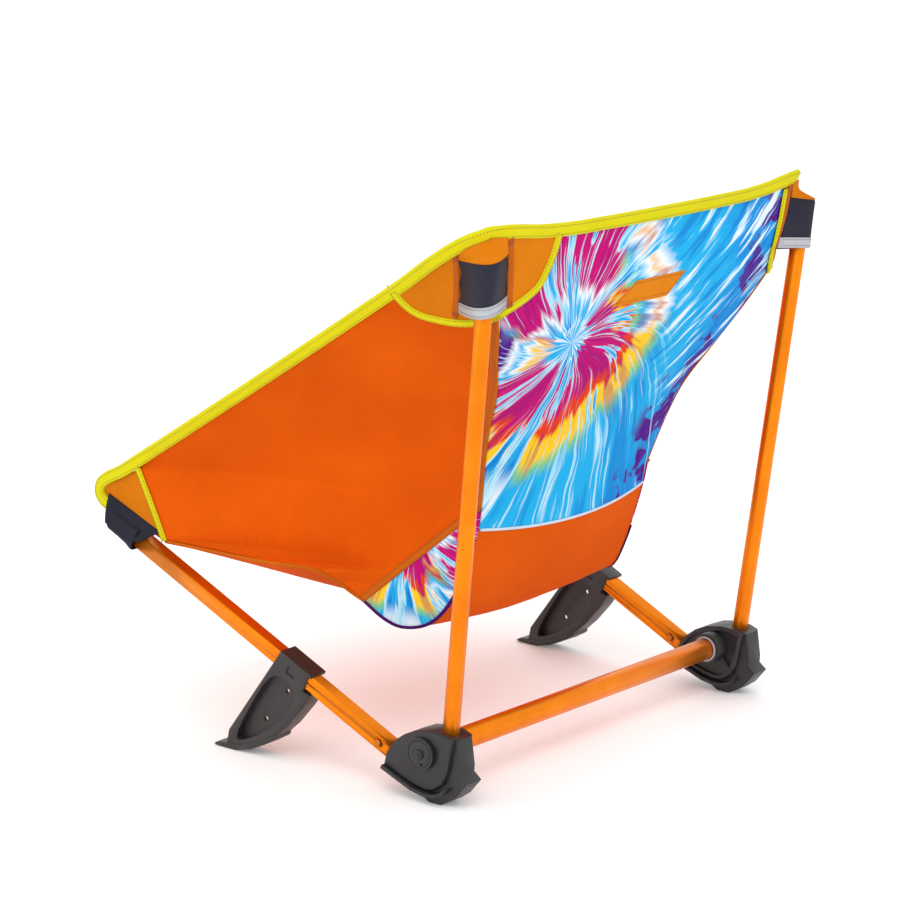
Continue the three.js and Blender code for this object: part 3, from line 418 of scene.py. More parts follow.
# %% Steel and pale bush
def bright(name, base, metallic, roughness):
    finish = Finish(name, Metallic=metallic)
    place = finish.object_place()
    smear = finish.noise(place, 300.0, 4.0, 0.65)
    finish.put("Base Color", finish.mix(smear, base, tuple(c * 0.78 for c in base)))
    finish.put("Roughness", smear * 0.22 + roughness)
    finish.bump(smear, 0.00003, 0.4)
    return finish.material


steel = bright("bright_steel", (0.66, 0.66, 0.68), 1.0, 0.18)
rivet_finish = bright("anodised_rivet", (0.62, 0.20, 0.03), 0.9, 0.25)
black_steel = bright("blackened_steel", (0.020, 0.019, 0.020), 0.3, 0.20)
pale_bush = bright("pale_bush", (0.42, 0.43, 0.46), 0.0, 0.34)
print("hard finishes:", [m.name for m in (upright_finish, rail_finish, bar_finish, nylon, steel, pale_bush)])

# %% [markdown]
# ## Woven finishes
# Every cloth piece carries a UV map called `cloth`, measured in metres along its own threads, so one
# weave formula fits all of them. Warp and weft are two rows of rounded ridges, and a checker of
# signs says which of them is on top.

# %% Weave height
def weave(finish, pitch):
    along, across = finish.cloth_place()
    turn = math.pi / pitch
    warp, weft = (along * turn).sin(), (across * turn).sin()
    over = (warp * weft) > 0.0
    return warp.size() * over + weft.size() * (1 - over)


# %% Canvas
def canvas(name, deep, light, pitch, roughness=0.85, depth=0.00018, cloud_scale=9.0):
    """Plain-woven canvas: broad soft clouds of tone, slubs along the threads, and the weave itself."""
    finish = Finish(name, Specular_IOR_Level=0.07)
    place = finish.object_place()
    along, across = finish.cloth_place()
    threads = weave(finish, pitch)
    clouds = finish.noise(place, cloud_scale, 3.0, 0.55)
    slubs = finish.noise(finish.merge(along * 160.0, across * 1500.0), 1.0, 3.0, 0.6)
    cross_slubs = finish.noise(finish.merge(along * 1500.0, across * 160.0), 1.0, 3.0, 0.6)
    tone = clouds * 0.55 + slubs * 0.25 + cross_slubs * 0.20 + threads * 0.22 - 0.10
    finish.put("Base Color", finish.mix(tone.step(0.28, 0.80), deep, light))
    finish.put("Roughness", slubs * 0.12 + roughness)
    finish.bump(threads + slubs * 0.5, depth, 0.7)
    return finish.material


orange_canvas = canvas("orange_canvas", (0.60, 0.072, 0.001), (0.78, 0.118, 0.002), 0.0011)
patch_canvas = canvas("patch_canvas", (0.52, 0.13, 0.003), (0.74, 0.225, 0.006), 0.0014, depth=0.00026)
edge_tape = canvas("orange_tape", (0.42, 0.085, 0.004), (0.66, 0.16, 0.008), 0.0010)
purple_edge = canvas("purple_edge", (0.045, 0.004, 0.08), (0.10, 0.010, 0.15), 0.0010)
pale_piping = canvas("pale_piping", (0.40, 0.55, 0.68), (0.72, 0.82, 0.90), 0.0009)
label_cloth = canvas("label_cloth", (0.66, 0.19, 0.008), (0.82, 0.28, 0.012), 0.0009)
black_sleeve = canvas("black_sleeve", (0.011, 0.012, 0.020), (0.032, 0.033, 0.050), 0.0012, 0.42,
                      0.00008)
print("canvas finishes ready")

# %% [markdown]
# ### Neon binding
# The binding is a grosgrain tape folded over the edge: ribs run across it, close together, with a
# duller yarn in every rib's valley and a smooth woven rim.

# %% Binding tape
def grosgrain(name, valley, crown, rib=0.0013):
    finish = Finish(name, Specular_IOR_Level=0.12)
    along, across = finish.cloth_place()
    lean = along + across * 0.45
    ridge = (lean * (2 * math.pi / rib)).sin() * 0.5 + 0.5
    fuzz = finish.noise(finish.merge(along * 900.0, across * 900.0), 1.0, 3.0, 0.6)
    soil = finish.noise(finish.object_place(), 30.0, 3.0)
    tone = ridge * 0.55 + fuzz * 0.35 + soil * 0.15
    finish.put("Base Color", finish.mix(tone.step(0.15, 0.85), valley, crown))
    finish.put("Roughness", fuzz * 0.15 + 0.62)
    finish.bump(ridge + fuzz * 0.3, 0.00022, 0.7)
    return finish.material


neon_tape = grosgrain("neon_binding", (0.42, 0.38, 0.002), (0.84, 0.76, 0.004))

# %% Reflective strip and threads
def reflective(name):
    """Grey tape with a grid of tiny glass dots."""
    finish = Finish(name, Metallic=0.25, Specular_IOR_Level=0.6)
    along, across = finish.cloth_place()
    turn = 2 * math.pi / 0.0022
    dots = ((along * turn).sin() * (across * turn).sin()).step(0.1, 0.6)
    dirt = finish.noise(finish.object_place(), 260.0, 3.0)
    finish.put("Base Color", finish.mix(dots * 0.6 + dirt * 0.4, (0.30, 0.31, 0.34), (0.66, 0.68, 0.72)))
    finish.put("Roughness", dirt * 0.2 + 0.3)
    finish.bump(dots, 0.0001, 0.6)
    return finish.material


def thread(name, dark, light):
    """Twisted sewing thread."""
    finish = Finish(name, Specular_IOR_Level=0.3, Sheen_Weight=0.2)
    place = finish.object_place()
    twist = finish.noise(place, 3200.0, 2.0)
    finish.put("Base Color", finish.mix(twist, dark, light))
    finish.put("Roughness", twist * 0.2 + 0.5)
    finish.bump(twist, 0.00005, 0.5)
    return finish.material


reflective_strip = reflective("reflective_strip")
orange_thread = thread("orange_thread", (0.26, 0.040, 0.006), (0.50, 0.10, 0.012))
grey_thread = thread("grey_thread", (0.10, 0.10, 0.11), (0.22, 0.22, 0.24))
yellow_thread = thread("yellow_thread", (0.20, 0.19, 0.008), (0.40, 0.37, 0.02))
print("tape, strip and thread finishes ready")

# %% [markdown]
# ### Tie-dye
# A spiral tie-dye is made by twisting the wet cloth into a disc and pouring dye on its sectors. Dye
# follows the folds, so colour rings break into jagged petals and pale lines run out from the
# middle. Here the rings are colour ramps over a distance from the middle, the petals come from a
# noise that is read in turned polar coordinates, and the folds that the dye didn't reach are a
# second, finer noise.

# %% Dyes
WHITE, CYAN, BLUE = (0.86, 0.92, 0.95), (0.014, 0.42, 0.80), (0.004, 0.13, 0.56)
MAGENTA, PURPLE, RED = (0.53, 0.002, 0.165), (0.085, 0.004, 0.24), (0.74, 0.045, 0.004)
YELLOW, GREEN, PEACH = (0.93, 0.58, 0.012), (0.20, 0.56, 0.24), (0.94, 0.56, 0.28)
MAGENTA_DEEP, SKY = (0.25, 0.001, 0.16), (0.010, 0.27, 0.70)


def tie_dye(name, centre, plane, scale=1.0, twist=3.0, turned_sectors=False):
    """A spiral of dyes round a centre. `plane` picks which way is right and which is up."""
    finish = Finish(name, Specular_IOR_Level=0.08)
    place = finish.object_place()
    axes = finish.split(place)
    sway = finish.noise(place, 15.0, 2.0, 0.5)
    sway_up = finish.noise(place, 11.0, 2.0, 0.5)
    right = (axes[plane[0]] * -1.0 + centre[0]) * (1.0 / scale) + (sway - 0.5) * 0.020
    up = (axes[plane[1]] - centre[1]) * (1.0 / scale) + (sway_up - 0.5) * 0.020
    far = (right * right + up * up) ** 0.5
    turned = up.math("ARCTAN2", right) + far * twist
    c, s = turned.cos(), turned.sin()
    petals = finish.noise(finish.merge(c * 2.5, s * 2.5, far * 7.0 + 2.0), 1.0, 1.0, 0.5)
    folds = finish.noise(finish.merge(c * 5.6, s * 5.6, far * 5.0), 1.0, 2.0, 0.55)
    fine = finish.noise(finish.merge(c * 19.0, s * 19.0, far * 11.0), 1.0, 3.0, 0.6)
    hairs = finish.noise(finish.merge(c * 38.0, s * 38.0, far * 9.0), 1.0, 2.0, 0.5)
    run = finish.noise(finish.merge((right * 0.64 - up * 0.77) * 95, (right * 0.77 + up * 0.64) * 9, 2.0), 1.0, 3.0, 0.62)
    core = 1 - far.step(0.020, 0.034)
    near = far.step(0.012, 0.026) * (1 - far.step(0.078, 0.105))
    reach = far.step(0.125, 0.160)
    fold = folds * 0.62 + fine * 0.38 + near * (petals - folds) * 0.50
    run_side = reach * (right + up * 0.8).step(0.10, 0.17)
    fold = fold + run_side * (run - fold)
    ring = far + (folds - 0.5) * 0.070 + (fine - 0.5) * 0.024

    ramp = lambda stops: finish.ramp(ring * 3.3333, [(place_m / 0.3, colour) for place_m, colour in stops])
    lower = ramp([(0.016, CYAN), (0.022, MAGENTA), (0.076, MAGENTA), (0.084, RED), (0.096, RED),
                  (0.103, YELLOW), (0.124, YELLOW), (0.136, GREEN), (0.148, CYAN), (0.215, CYAN), (0.262, SKY)])
    upper = ramp([(0.034, CYAN), (0.048, WHITE), (0.058, MAGENTA), (0.122, MAGENTA), (0.140, PURPLE),
                  (0.152, CYAN)])
    beside = ramp([(0.018, CYAN), (0.028, PEACH), (0.040, YELLOW), (0.050, WHITE), (0.058, CYAN),
                   (0.070, WHITE), (0.082, PURPLE)])
    corner = ramp([(0.018, CYAN), (0.026, MAGENTA), (0.052, MAGENTA), (0.060, YELLOW), (0.072, RED),
                   (0.082, GREEN), (0.098, CYAN), (0.112, WHITE), (0.120, PEACH), (0.130, WHITE), (0.145, CYAN),
                   (0.225, CYAN), (0.270, SKY)])
    up_share = (up / far + (sway - 0.5) * 0.5)
    right_share = (right / far + (sway_up - 0.5) * 0.5)
    if turned_sectors:
        up_share, right_share = up_share * 0.20 - right_share * 0.98, up_share * 0.98 + right_share * 0.20
    colour = finish.mix(up_share.step(-0.02, 0.12), lower, corner)
    colour = finish.mix(up_share.step(0.30, 0.42) * (1 - right_share.step(0.42, 0.56)), colour, upper)
    beside_share = (1 - right_share.step(-0.90, -0.78)) * (1 - up_share.size().step(0.26, 0.40))
    if not turned_sectors:
        colour = finish.mix(beside_share, colour, beside)

    blots = finish.noise(finish.merge(right * 24.0, up * 38.0, far * 6.0), 1.0, 2.0, 0.5)
    outer = (right - up * 0.45).step(0.222, 0.258)
    colour = finish.mix((blots + fine * 0.25).step(0.645, 0.690) * outer, colour, PURPLE)
    bare = (fold + core * 0.040 - reach * 0.004).step(0.538, 0.556)
    undyed = finish.ramp(fold, [(0.538, WHITE), (0.556, (0.45, 0.76, 0.92)), (0.578, CYAN), (0.66, BLUE)])
    soft = finish.ramp(fold, [(0.50, CYAN), (0.585, (0.55, 0.80, 0.92)), (0.63, WHITE)])
    colour = finish.mix(bare * (1 - reach), colour, undyed)
    colour = finish.mix(fold.step(0.515, 0.60) * reach * 0.9, colour, soft)
    lines = (hairs + fold * 0.35).step(0.755, 0.80) * (1 - core) * (1 - run_side)
    colour = finish.mix(lines * 0.75, colour, (0.50, 0.79, 0.92))
    deep = (1 - fold.step(0.38, 0.46)) * reach
    colour = finish.mix(deep * 0.55, colour, BLUE)
    shade = (1 - fold.step(0.405, 0.46)) * (1 - core) * (1 - reach)
    colour = finish.mix(shade * 0.45, colour, MAGENTA_DEEP)

    threads = weave(finish, 0.0010)
    colour = finish.mix(threads * 0.08, colour, (0.02, 0.05, 0.12))
    finish.put("Base Color", colour)
    finish.put("Roughness", fine * 0.15 + 0.72)
    finish.bump(threads, 0.00014, 0.6)
    return finish.material


crossbar_low, crossbar_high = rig.box("crossbar")
AXLE = (crossbar_low + crossbar_high) / 2
SPIRAL = (0.108, 0.421)
GUSSET_SPIRAL = (AXLE.y - 0.090, 0.238)
back_dye = tie_dye("tie_dye_back", SPIRAL, (0, 2))
gusset_dye = tie_dye("tie_dye_gusset", GUSSET_SPIRAL, (1, 2), 0.66, 1.0, True)
print("tie-dye spiral at", SPIRAL, "nodes", len(back_dye.node_tree.nodes))

# %% [markdown]
# ## Hard pieces
# A imported solid is loose flat triangles with knife edges. Real tubes and mouldings catch light on
# their rounded edges. Each hard piece is therefore a merged copy of its solid, its flat facets
# joined into faces, with a small bevel on each real edge (none on the seat rails) and smooth shading across the facets.

# %% Soften a imported solid
def link(name, mesh, material):
    piece = bpy.data.objects.new(name, mesh)
    bpy.context.scene.collection.objects.link(piece)
    mesh.materials.clear()
    mesh.materials.append(material)
    return piece


def settle(piece):
    """Turn a piece's modifiers into plain geometry."""
    bpy.context.view_layer.update()
    graph = bpy.context.evaluated_depsgraph_get()
    mesh = bpy.data.meshes.new_from_object(piece.evaluated_get(graph), depsgraph=graph)
    piece.modifiers.clear()
    piece.data = mesh
    return piece


def soften(node, material, bevel, slot, sharp=32):
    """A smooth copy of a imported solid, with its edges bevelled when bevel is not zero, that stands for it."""
    work = bmesh.new()
    work.from_mesh(frame["nodes"][node].data)
    bmesh.ops.remove_doubles(work, verts=work.verts, dist=2e-6)
    bmesh.ops.dissolve_limit(work, angle_limit=math.radians(1.0), verts=work.verts, edges=work.edges)
    mesh = bpy.data.meshes.new(f"{node}_soft")
    work.to_mesh(mesh)
    work.free()
    piece = link(f"{node}_soft", mesh, material)
    for polygon in mesh.polygons:
        polygon.use_smooth = True
    if bevel:
        edge = piece.modifiers.new("edge", "BEVEL")
        edge.width = bevel
        edge.segments = 2
        edge.limit_method = "ANGLE"
        edge.angle_limit = math.radians(sharp)
        edge.harden_normals = True
    settle(piece)
    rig.replaces(piece, node)
    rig.slot(piece, slot)
    body = frame["nodes"][node].parent.name.removeprefix("body:")
    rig.ride(piece, body)
    return piece


# %% Poles, hubs, feet and fastenings
HARD = {
    "upright": (upright_finish, 0.0003, "anodised_tube"),
    "upright_plug": (nylon, 0.0004, "moulding"),
    "seat_rail": (rail_finish, 0.0, "anodised_tube"),
    "rail_knuckle": (nylon, 0.0004, "moulding"),
    "rail_plug": (nylon, 0.0006, "moulding"),
    "rail_rivet": (rivet_finish, 0.0003, "steel"),
    "hub_shell": (nylon, 0.0007, "moulding"),
    "end_disc": (nylon, 0.0004, "moulding"),
    "crossbar_plug": (nylon, 0.0004, "moulding"),
    "crossbar_bush": (pale_bush, 0.0003, "bush"),
    "axle_bolt": (black_steel, 0.0002, "steel"),
    "foot": (foot_nylon_painted_reflection, 0.0006, "moulding"),
}
soften("crossbar", bar_finish, 0.0003, "anodised_tube")
for side in ("left", "right"):
    for name, (material, bevel, slot) in HARD.items():
        piece = soften(f"{side}_{name}", material, bevel, slot)
        print(piece.name, len(piece.data.polygons), "faces")

# %% [markdown]
# ## The seat's guiding lines
# A sewn seat is drawn by its seams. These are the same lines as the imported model's, in
# millimetres from the crossbar's axis: the rear corner over the upright, the front corner over the
# rail's tip, the curved seam between side and back, and the tape that closes the gusset. Every
# panel, tape and stitch below is placed on them, so the seams stay shut.

# %% Lines of the poles
def unit(vector):
    return vector / max(float(np.linalg.norm(vector)), 1e-12)


def lerp(a, b, t):
    return a + (b - a) * t


def smoothstep(value, low, high):
    t = min(max((value - low) / (high - low), 0.0), 1.0)
    return t * t * (3 - 2 * t)


def V(x, y, z):
    return np.array((x, y, z), float)


def to_metres(points):
    """Millimetres from the crossbar's axis to metres in the chair's frame."""
    return (np.asarray(points, float) + (0.0, AXLE.y * 1000, 0.0)) * 0.001


HUB_HALF, AXLE_HEIGHT = 234.5, 48.5
UPRIGHT_LENGTH, UPRIGHT_RADIUS = 478.0, 8.0
LEAN, SPLAY = math.radians(6.4), math.radians(2.2)
RAIL_RISE, RAIL_SPLAY, RAIL_LENGTH = math.radians(25.2), math.radians(1.5), 398.0

upright_along = unit(V(math.tan(SPLAY), math.sin(LEAN), math.cos(LEAN)))
upright_foot = V(HUB_HALF, 0, AXLE_HEIGHT) + 19 * V(0, math.cos(LEAN), -math.sin(LEAN)) - 9 * upright_along
upright_tip = upright_foot + UPRIGHT_LENGTH * upright_along
rail_along = unit(V(math.tan(RAIL_SPLAY), -math.cos(RAIL_RISE), math.sin(RAIL_RISE)))
rail_up = V(0, math.sin(RAIL_RISE), math.cos(RAIL_RISE))
rail_pin = V(HUB_HALF, -38.7, 33.3)
rail_tip = rail_pin + RAIL_LENGTH * rail_along
print("upright tip", upright_tip.round(1), "rail tip", rail_tip.round(1))

# %% Corners and seams of the left half
rear_corner = upright_tip + (-2.5, -2.5, 29)
front_corner = rail_tip + (3, -25, 31)
seam_foot = V(rear_corner[0] - 118, -32, 235)
floor_corner = V(rear_corner[0] - 71, -137, 157)
patch_foot = rail_tip + (-5, 57, -10.5)
patch_head = front_corner + (0, 54, 30)
binding_start = front_corner + (0, 31, 20)
SEAM_ACROSS = ((0, 0), (0.074, 0.01), (0.32, 0.182), (0.474, 0.36), (0.606, 0.564), (0.72, 0.716),
               (0.86, 0.865), (1, 1))
SEAM_BACK = ((0, 0), (0.074, 0.04), (0.32, 0.276), (0.474, 0.536), (0.606, 0.735), (0.72, 0.885),
             (0.86, 0.97), (1, 1))


def read_off(table, at):
    """A value along a short table of (position, value), smoothly."""
    last = len(table) - 1
    k = 0
    while k < last - 1 and at > table[k + 1][0]:
        k += 1
    run = table[k + 1][0] - table[k][0]
    t = min(max((at - table[k][0]) / run, 0.0), 1.0)

    def slope(i):
        a, b = max(i - 1, 0), min(i + 1, last)
        return (table[b][1] - table[a][1]) / (table[b][0] - table[a][0])

    return ((2 * t**3 - 3 * t**2 + 1) * table[k][1] + (t**3 - 2 * t**2 + t) * run * slope(k)
            + (3 * t**2 - 2 * t**3) * table[k + 1][1] + (t**3 - t**2) * run * slope(k + 1))


def back_seam(z):
    f = min(max((z - seam_foot[2]) / (rear_corner[2] - seam_foot[2]), 0.0), 1.0)
    return V(lerp(seam_foot[0], rear_corner[0], read_off(SEAM_ACROSS, f)),
             lerp(seam_foot[1], rear_corner[1], read_off(SEAM_BACK, f)), z)


gusset_top = back_seam(seam_foot[2] + 25)


def top_edge(z):
    f = (z - binding_start[2]) / (rear_corner[2] - 2 - binding_start[2])
    bow = math.sin(math.pi * min(max(f, 0), 1)) * 6
    return V(lerp(binding_start[0], rear_corner[0] + 4, f) - bow,
             lerp(binding_start[1], rear_corner[1] - 12, f), z)


def toward(low, high, shares):
    return V(*(lerp(low[i], high[i], shares[i]) for i in range(3)))


SIDE_FRONT = [floor_corner, toward(floor_corner, patch_foot, (0.20, 0.09, 0.48)),
              toward(floor_corner, patch_foot, (0.52, 0.15, 0.88)),
              toward(floor_corner, patch_foot, (0.87, 0.50, 0.97)), patch_foot, patch_head]


def side_front(z):
    """The side's front and lower edge, by height."""
    if z > patch_head[2]:
        return top_edge(z)
    k = 0
    while k < len(SIDE_FRONT) - 2 and z > SIDE_FRONT[k + 1][2]:
        k += 1
    low, high = SIDE_FRONT[k], SIDE_FRONT[k + 1]
    point = lerp(low, high, (z - low[2]) / (high[2] - low[2]))
    point[2] = z
    return point


def side_rear(z):
    if z > gusset_top[2]:
        return back_seam(z)
    return lerp(floor_corner, gusset_top, (z - floor_corner[2]) / (gusset_top[2] - floor_corner[2]))


def side_at(z, distance):
    """The side wall, a distance forward of the corner seam."""
    front, rear = side_front(z), side_rear(z)
    length = float(np.linalg.norm(front - rear))
    share = distance / length
    dish = 7 * math.sin(math.pi * min(max(share, 0), 1)) * min(1, length / 200)
    return lerp(rear, front, share) - (dish, 0, 0)


def back_at(z, x):
    """The back wall, a distance across from the middle."""
    corner = back_seam(z)
    return V(x, corner[1] + 15 * (1 - (x / corner[0]) ** 2), z)


def back_top(k):
    return rear_corner[2] + lerp(-1, 6, smoothstep(abs(k), 0.6, 0.95))


def back_foot(k):
    return seam_foot[2] - 9 * (1 - k * k)


CORNER_ROUND = 24.0
SHOULDER = 9.0


def wall(a, z):
    """Side and back as one wall: a is the way round it, negative on the side, 0 at the seam."""
    if a < -CORNER_ROUND:
        return side_at(z, -a)
    if a > CORNER_ROUND:
        return back_at(z, back_seam(z)[0] - a)
    t = (a + CORNER_ROUND) / (2 * CORNER_ROUND)
    corner = back_seam(z)
    fore, aft = side_at(z, CORNER_ROUND), back_at(z, corner[0] - CORNER_ROUND)
    round_share = smoothstep(z, rear_corner[2] - 84, rear_corner[2] - 54)
    q = lerp(lerp(fore, corner, t), lerp(corner, aft, t), t)
    sharp = lerp(fore, corner, t * 2) if t < 0.5 else lerp(corner, aft, t * 2 - 1)
    return lerp(sharp, q, round_share)


def wall_top(a):
    if a >= 0:
        return back_top(1 - a / rear_corner[0])
    return back_top(1) - SHOULDER * 0.64 * math.log1p(math.exp((-a - 10) / SHOULDER))


def outward(surface, a, b, step=0.6):
    da = surface(a + step, b) - surface(a - step, b)
    db = surface(a, b + step) - surface(a, b - step)
    return unit(np.cross(da, db))


print("rear corner", rear_corner.round(1), "front corner", front_corner.round(1))

# %% [markdown]
# ## Cloth from a surface
# A panel is a closed sheet over a surface: a grid of points, moved half the cloth's thickness each
# way, and joined round the rim. Its UV map is measured along the cloth itself, in metres, so the
# weave keeps its size and follows the panel's pull. A ripple adds what a taut seam does to cloth:
# small puckers that die away from the stitches.

# %% Panels
SEAT_BLEND = {"start": to_metres(V(0, -70, 120)), "end": to_metres(V(0, -338, 120))}
sewn = []


def mirror_surface(surface):
    return lambda u, v: surface(1 - u, v) * (-1, 1, 1)


def cloth(name, surface, columns, rows, thickness, material, lift=0.0, ripple=None):
    """A closed sheet over surface(u, v), which gives millimetres. It returns the piece and its flat size."""
    us, vs = np.linspace(0, 1, columns + 1), np.linspace(0, 1, rows + 1)
    grid = np.array([[surface(u, v) for u in us] for v in vs])
    du, dv = np.gradient(grid, axis=1), np.gradient(grid, axis=0)
    normal = np.cross(du, dv)
    normal /= np.maximum(np.linalg.norm(normal, axis=2, keepdims=True), 1e-9)
    along = np.zeros(grid.shape[:2])
    across = np.zeros(grid.shape[:2])
    along[:, 1:] = np.cumsum(np.linalg.norm(np.diff(grid, axis=1), axis=2), axis=1)
    across[1:, :] = np.cumsum(np.linalg.norm(np.diff(grid, axis=0), axis=2), axis=0)
    if ripple is not None:
        grid = grid + normal * ripple(us[None, :], vs[:, None], along, across)[..., None]
    faces_area = np.linalg.norm(np.cross(np.diff(grid, axis=1)[:-1], np.diff(grid, axis=0)[:, :-1]), axis=2)
    outer, inner = grid + normal * (lift + thickness / 2), grid + normal * (lift - thickness / 2)
    points = to_metres(np.concatenate([outer.reshape(-1, 3), inner.reshape(-1, 3)]))
    count, stride = outer.shape[0] * outer.shape[1], columns + 1
    faces = []
    for j in range(rows):
        for i in range(columns):
            a = j * stride + i
            b, c, d = a + 1, a + 1 + stride, a + stride
            faces += [(a, b, c, d), (count + a, count + d, count + c, count + b)]
    rim = [i for i in range(columns)] + [j * stride + columns for j in range(rows)]
    rim += [rows * stride + i for i in range(columns, 0, -1)] + [j * stride for j in range(rows, 0, -1)]
    for a, b in zip(rim, rim[1:] + rim[:1]):
        faces.append((a, count + a, count + b, b))
    uv = np.stack([along, across], axis=2).reshape(-1, 2) * 0.001
    piece = mesh_piece(name, points, faces, np.concatenate([uv, uv]), material)
    flat = (float(along[:, -1].max()) * 0.001, float(across[-1].max()) * 0.001)
    return piece, flat, float(faces_area.sum()) * 1e-6


def mesh_piece(name, points, faces, uv, material, smooth=True):
    mesh = bpy.data.meshes.new(name)
    mesh.from_pydata([tuple(p) for p in points], [], faces)
    layer = mesh.uv_layers.new(name="cloth")
    index = np.empty(len(mesh.loops), np.int32)
    mesh.loops.foreach_get("vertex_index", index)
    layer.data.foreach_set("uv", np.asarray(uv)[index].astype(np.float32).ravel())
    mesh.polygons.foreach_set("use_smooth", [smooth] * len(mesh.polygons))
    mesh.update()
    return link(name, mesh, material)


def place_sewn(piece, side, slot, stands_for=(), moves=True):
    """Hang a sewn piece: on the frame, or bending between the frame and a rail."""
    if stands_for:
        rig.replaces(piece, *stands_for)
    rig.slot(piece, slot)
    if moves:
        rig.blend(piece, "frame", f"{side}_rail", **SEAT_BLEND)
    else:
        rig.ride(piece, "frame")
    sewn.append(piece.name)
    return piece


def both_sides(name, surface, columns, rows, thickness, material, slot, moves=True, node=None, lift=0.0,
               ripple=None, declare=True):
    """The left piece and its mirror image, each declared as a stretched sheet when declare is set."""
    made = []
    for side in ("left", "right"):
        shape = surface if side == "left" else mirror_surface(surface)
        wave = ripple
        if side == "right" and ripple is not None:
            wave = lambda u, v, s, t: ripple(1 - u, v, s[:, -1:] - s, t)
        piece, flat, area = cloth(f"{side}_{name}", shape, columns, rows, thickness, material, lift, wave)
        place_sewn(piece, side, slot, [f"{side}_{node}"] if node else (), moves)
        if declare:
            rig.sheet(piece, flat=flat, held="stretched", rests_on=[f"{side}_upright"],
                     area=min(area, flat[0] * flat[1]))
        made.append(piece)
    print(name, "flat", tuple(round(f, 3) for f in flat), "m, area", round(area, 4), "m2")
    return made


def pucker(pitch, height, fade):
    """Small waves square to a seam at v = 0 and v = 1, dying away from it."""
    def ripple(u, v, s, t):
        total = t[-1:, :]
        near = np.exp(-t / fade) + np.exp(-(total - t) / fade)
        wobble = np.sin(s * 2 * math.pi / pitch + 1.7 * np.sin(s / 31.0))
        return height * wobble * near
    return ripple


# %% [markdown]
# ### Side panels
# Each side is one piece of orange canvas, pulled tight between the binding above and the seat's
# lower seam. Broad shallow folds run from the rear corner towards the front of the seat floor.

# %% Side panels
SIDE_LOW, SIDE_HIGH = floor_corner[2] + 0.6, rear_corner[2] - 22


def side_panel(u, v):
    z = lerp(SIDE_LOW, SIDE_HIGH, v**1.6)
    length = float(np.linalg.norm(side_front(z) - side_rear(z)))
    inset = lerp(0.6, CORNER_ROUND * 0.8, smoothstep(z, rear_corner[2] - 76, rear_corner[2] - 54))
    trim = lerp(0.8, 2.0, smoothstep(z, patch_head[2] - 4, patch_head[2] + 4))
    return side_at(z, lerp(min(inset, length * 0.45), length - min(trim, length * 0.2), u))


def side_folds(u, v, s, t):
    """Slack folds fanning from the rear corner, with puckers at the seams."""
    fan = np.sin(5.5 * (v + 0.55 * u) * math.pi + 0.8 * np.sin(6 * u))
    calm = np.sin(math.pi * np.clip(u, 0, 1)) * np.sin(math.pi * np.clip(v, 0, 1))
    return 0.9 * fan * calm + pucker(9.0, 0.22, 5.0)(u, v, s, t)


both_sides("side_cloth", side_panel, 110, 90, 1.0, orange_canvas, "canvas", node="side_panel",
           ripple=side_folds)

# %% [markdown]
# ### Back panel
# The tie-dyed back bows rearwards between its seams and is pulled into faint vertical folds near
# the top corners, where the uprights stretch it.

# %% Back panel
def back_panel(u, v):
    k = lerp(1, -1, u)
    z = lerp(back_foot(k) - 0.6, back_top(k) - 5, v)
    corner = back_seam(z)
    inset = lerp(0.6, CORNER_ROUND * 0.8, smoothstep(z, rear_corner[2] - 76, rear_corner[2] - 54))
    return back_at(z, (corner[0] - inset) * k)


def back_folds(u, v, s, t):
    edge = np.exp(-np.minimum(u, 1 - u) * 14)
    return 0.7 * np.sin(v * 19 + 4 * u) * edge * np.sin(math.pi * v) + pucker(10.0, 0.25, 6.0)(u, v, s, t)


back, back_flat, back_area = cloth("back_cloth", back_panel, 110, 84, 1.0, back_dye, 0.0, back_folds)
place_sewn(back, "left", "printed_fabric", ["back_panel"], moves=False)
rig.sheet(back, flat=back_flat, held="stretched", rests_on=["left_upright", "right_upright"], area=back_area)
print("back flat", [round(f, 3) for f in back_flat], "m, area", round(back_area, 4))

# %% [markdown]
# ### Seat floor
# The floor is one orange piece from the back's lower seam, down round the seat, and forward to the
# hem between the two rail tips. Its edges are the sides' lower seams.

# %% Seat floor
def curve_through(points, samples=400):
    """A smooth curve through points, read by its share of the length (centripetal spline)."""
    points = [np.asarray(p, float) for p in points]
    ends = [2 * points[0] - points[1], *points, 2 * points[-1] - points[-2]]
    track = []
    for p0, p1, p2, p3 in zip(ends, ends[1:], ends[2:], ends[3:]):
        t0 = 0.0
        t1 = t0 + max(np.linalg.norm(p1 - p0), 1e-6) ** 0.5
        t2 = t1 + max(np.linalg.norm(p2 - p1), 1e-6) ** 0.5
        t3 = t2 + max(np.linalg.norm(p3 - p2), 1e-6) ** 0.5
        for t in np.linspace(t1, t2, samples // len(points) + 2)[:-1]:
            a1 = p0 + (p1 - p0) * (t - t0) / (t1 - t0)
            a2 = p1 + (p2 - p1) * (t - t1) / (t2 - t1)
            a3 = p2 + (p3 - p2) * (t - t2) / (t3 - t2)
            b1 = a1 + (a2 - a1) * (t - t0) / (t2 - t0)
            b2 = a2 + (a3 - a2) * (t - t1) / (t3 - t1)
            track.append(b1 + (b2 - b1) * (t - t1) / (t2 - t1))
    track = np.array(track + [points[-1]])
    length = np.concatenate([[0], np.cumsum(np.linalg.norm(np.diff(track, axis=0), axis=1))])

    def at(share):
        s = share * length[-1]
        return np.array([np.interp(s, length, track[:, i]) for i in range(3)])

    at.length = float(length[-1])
    return at


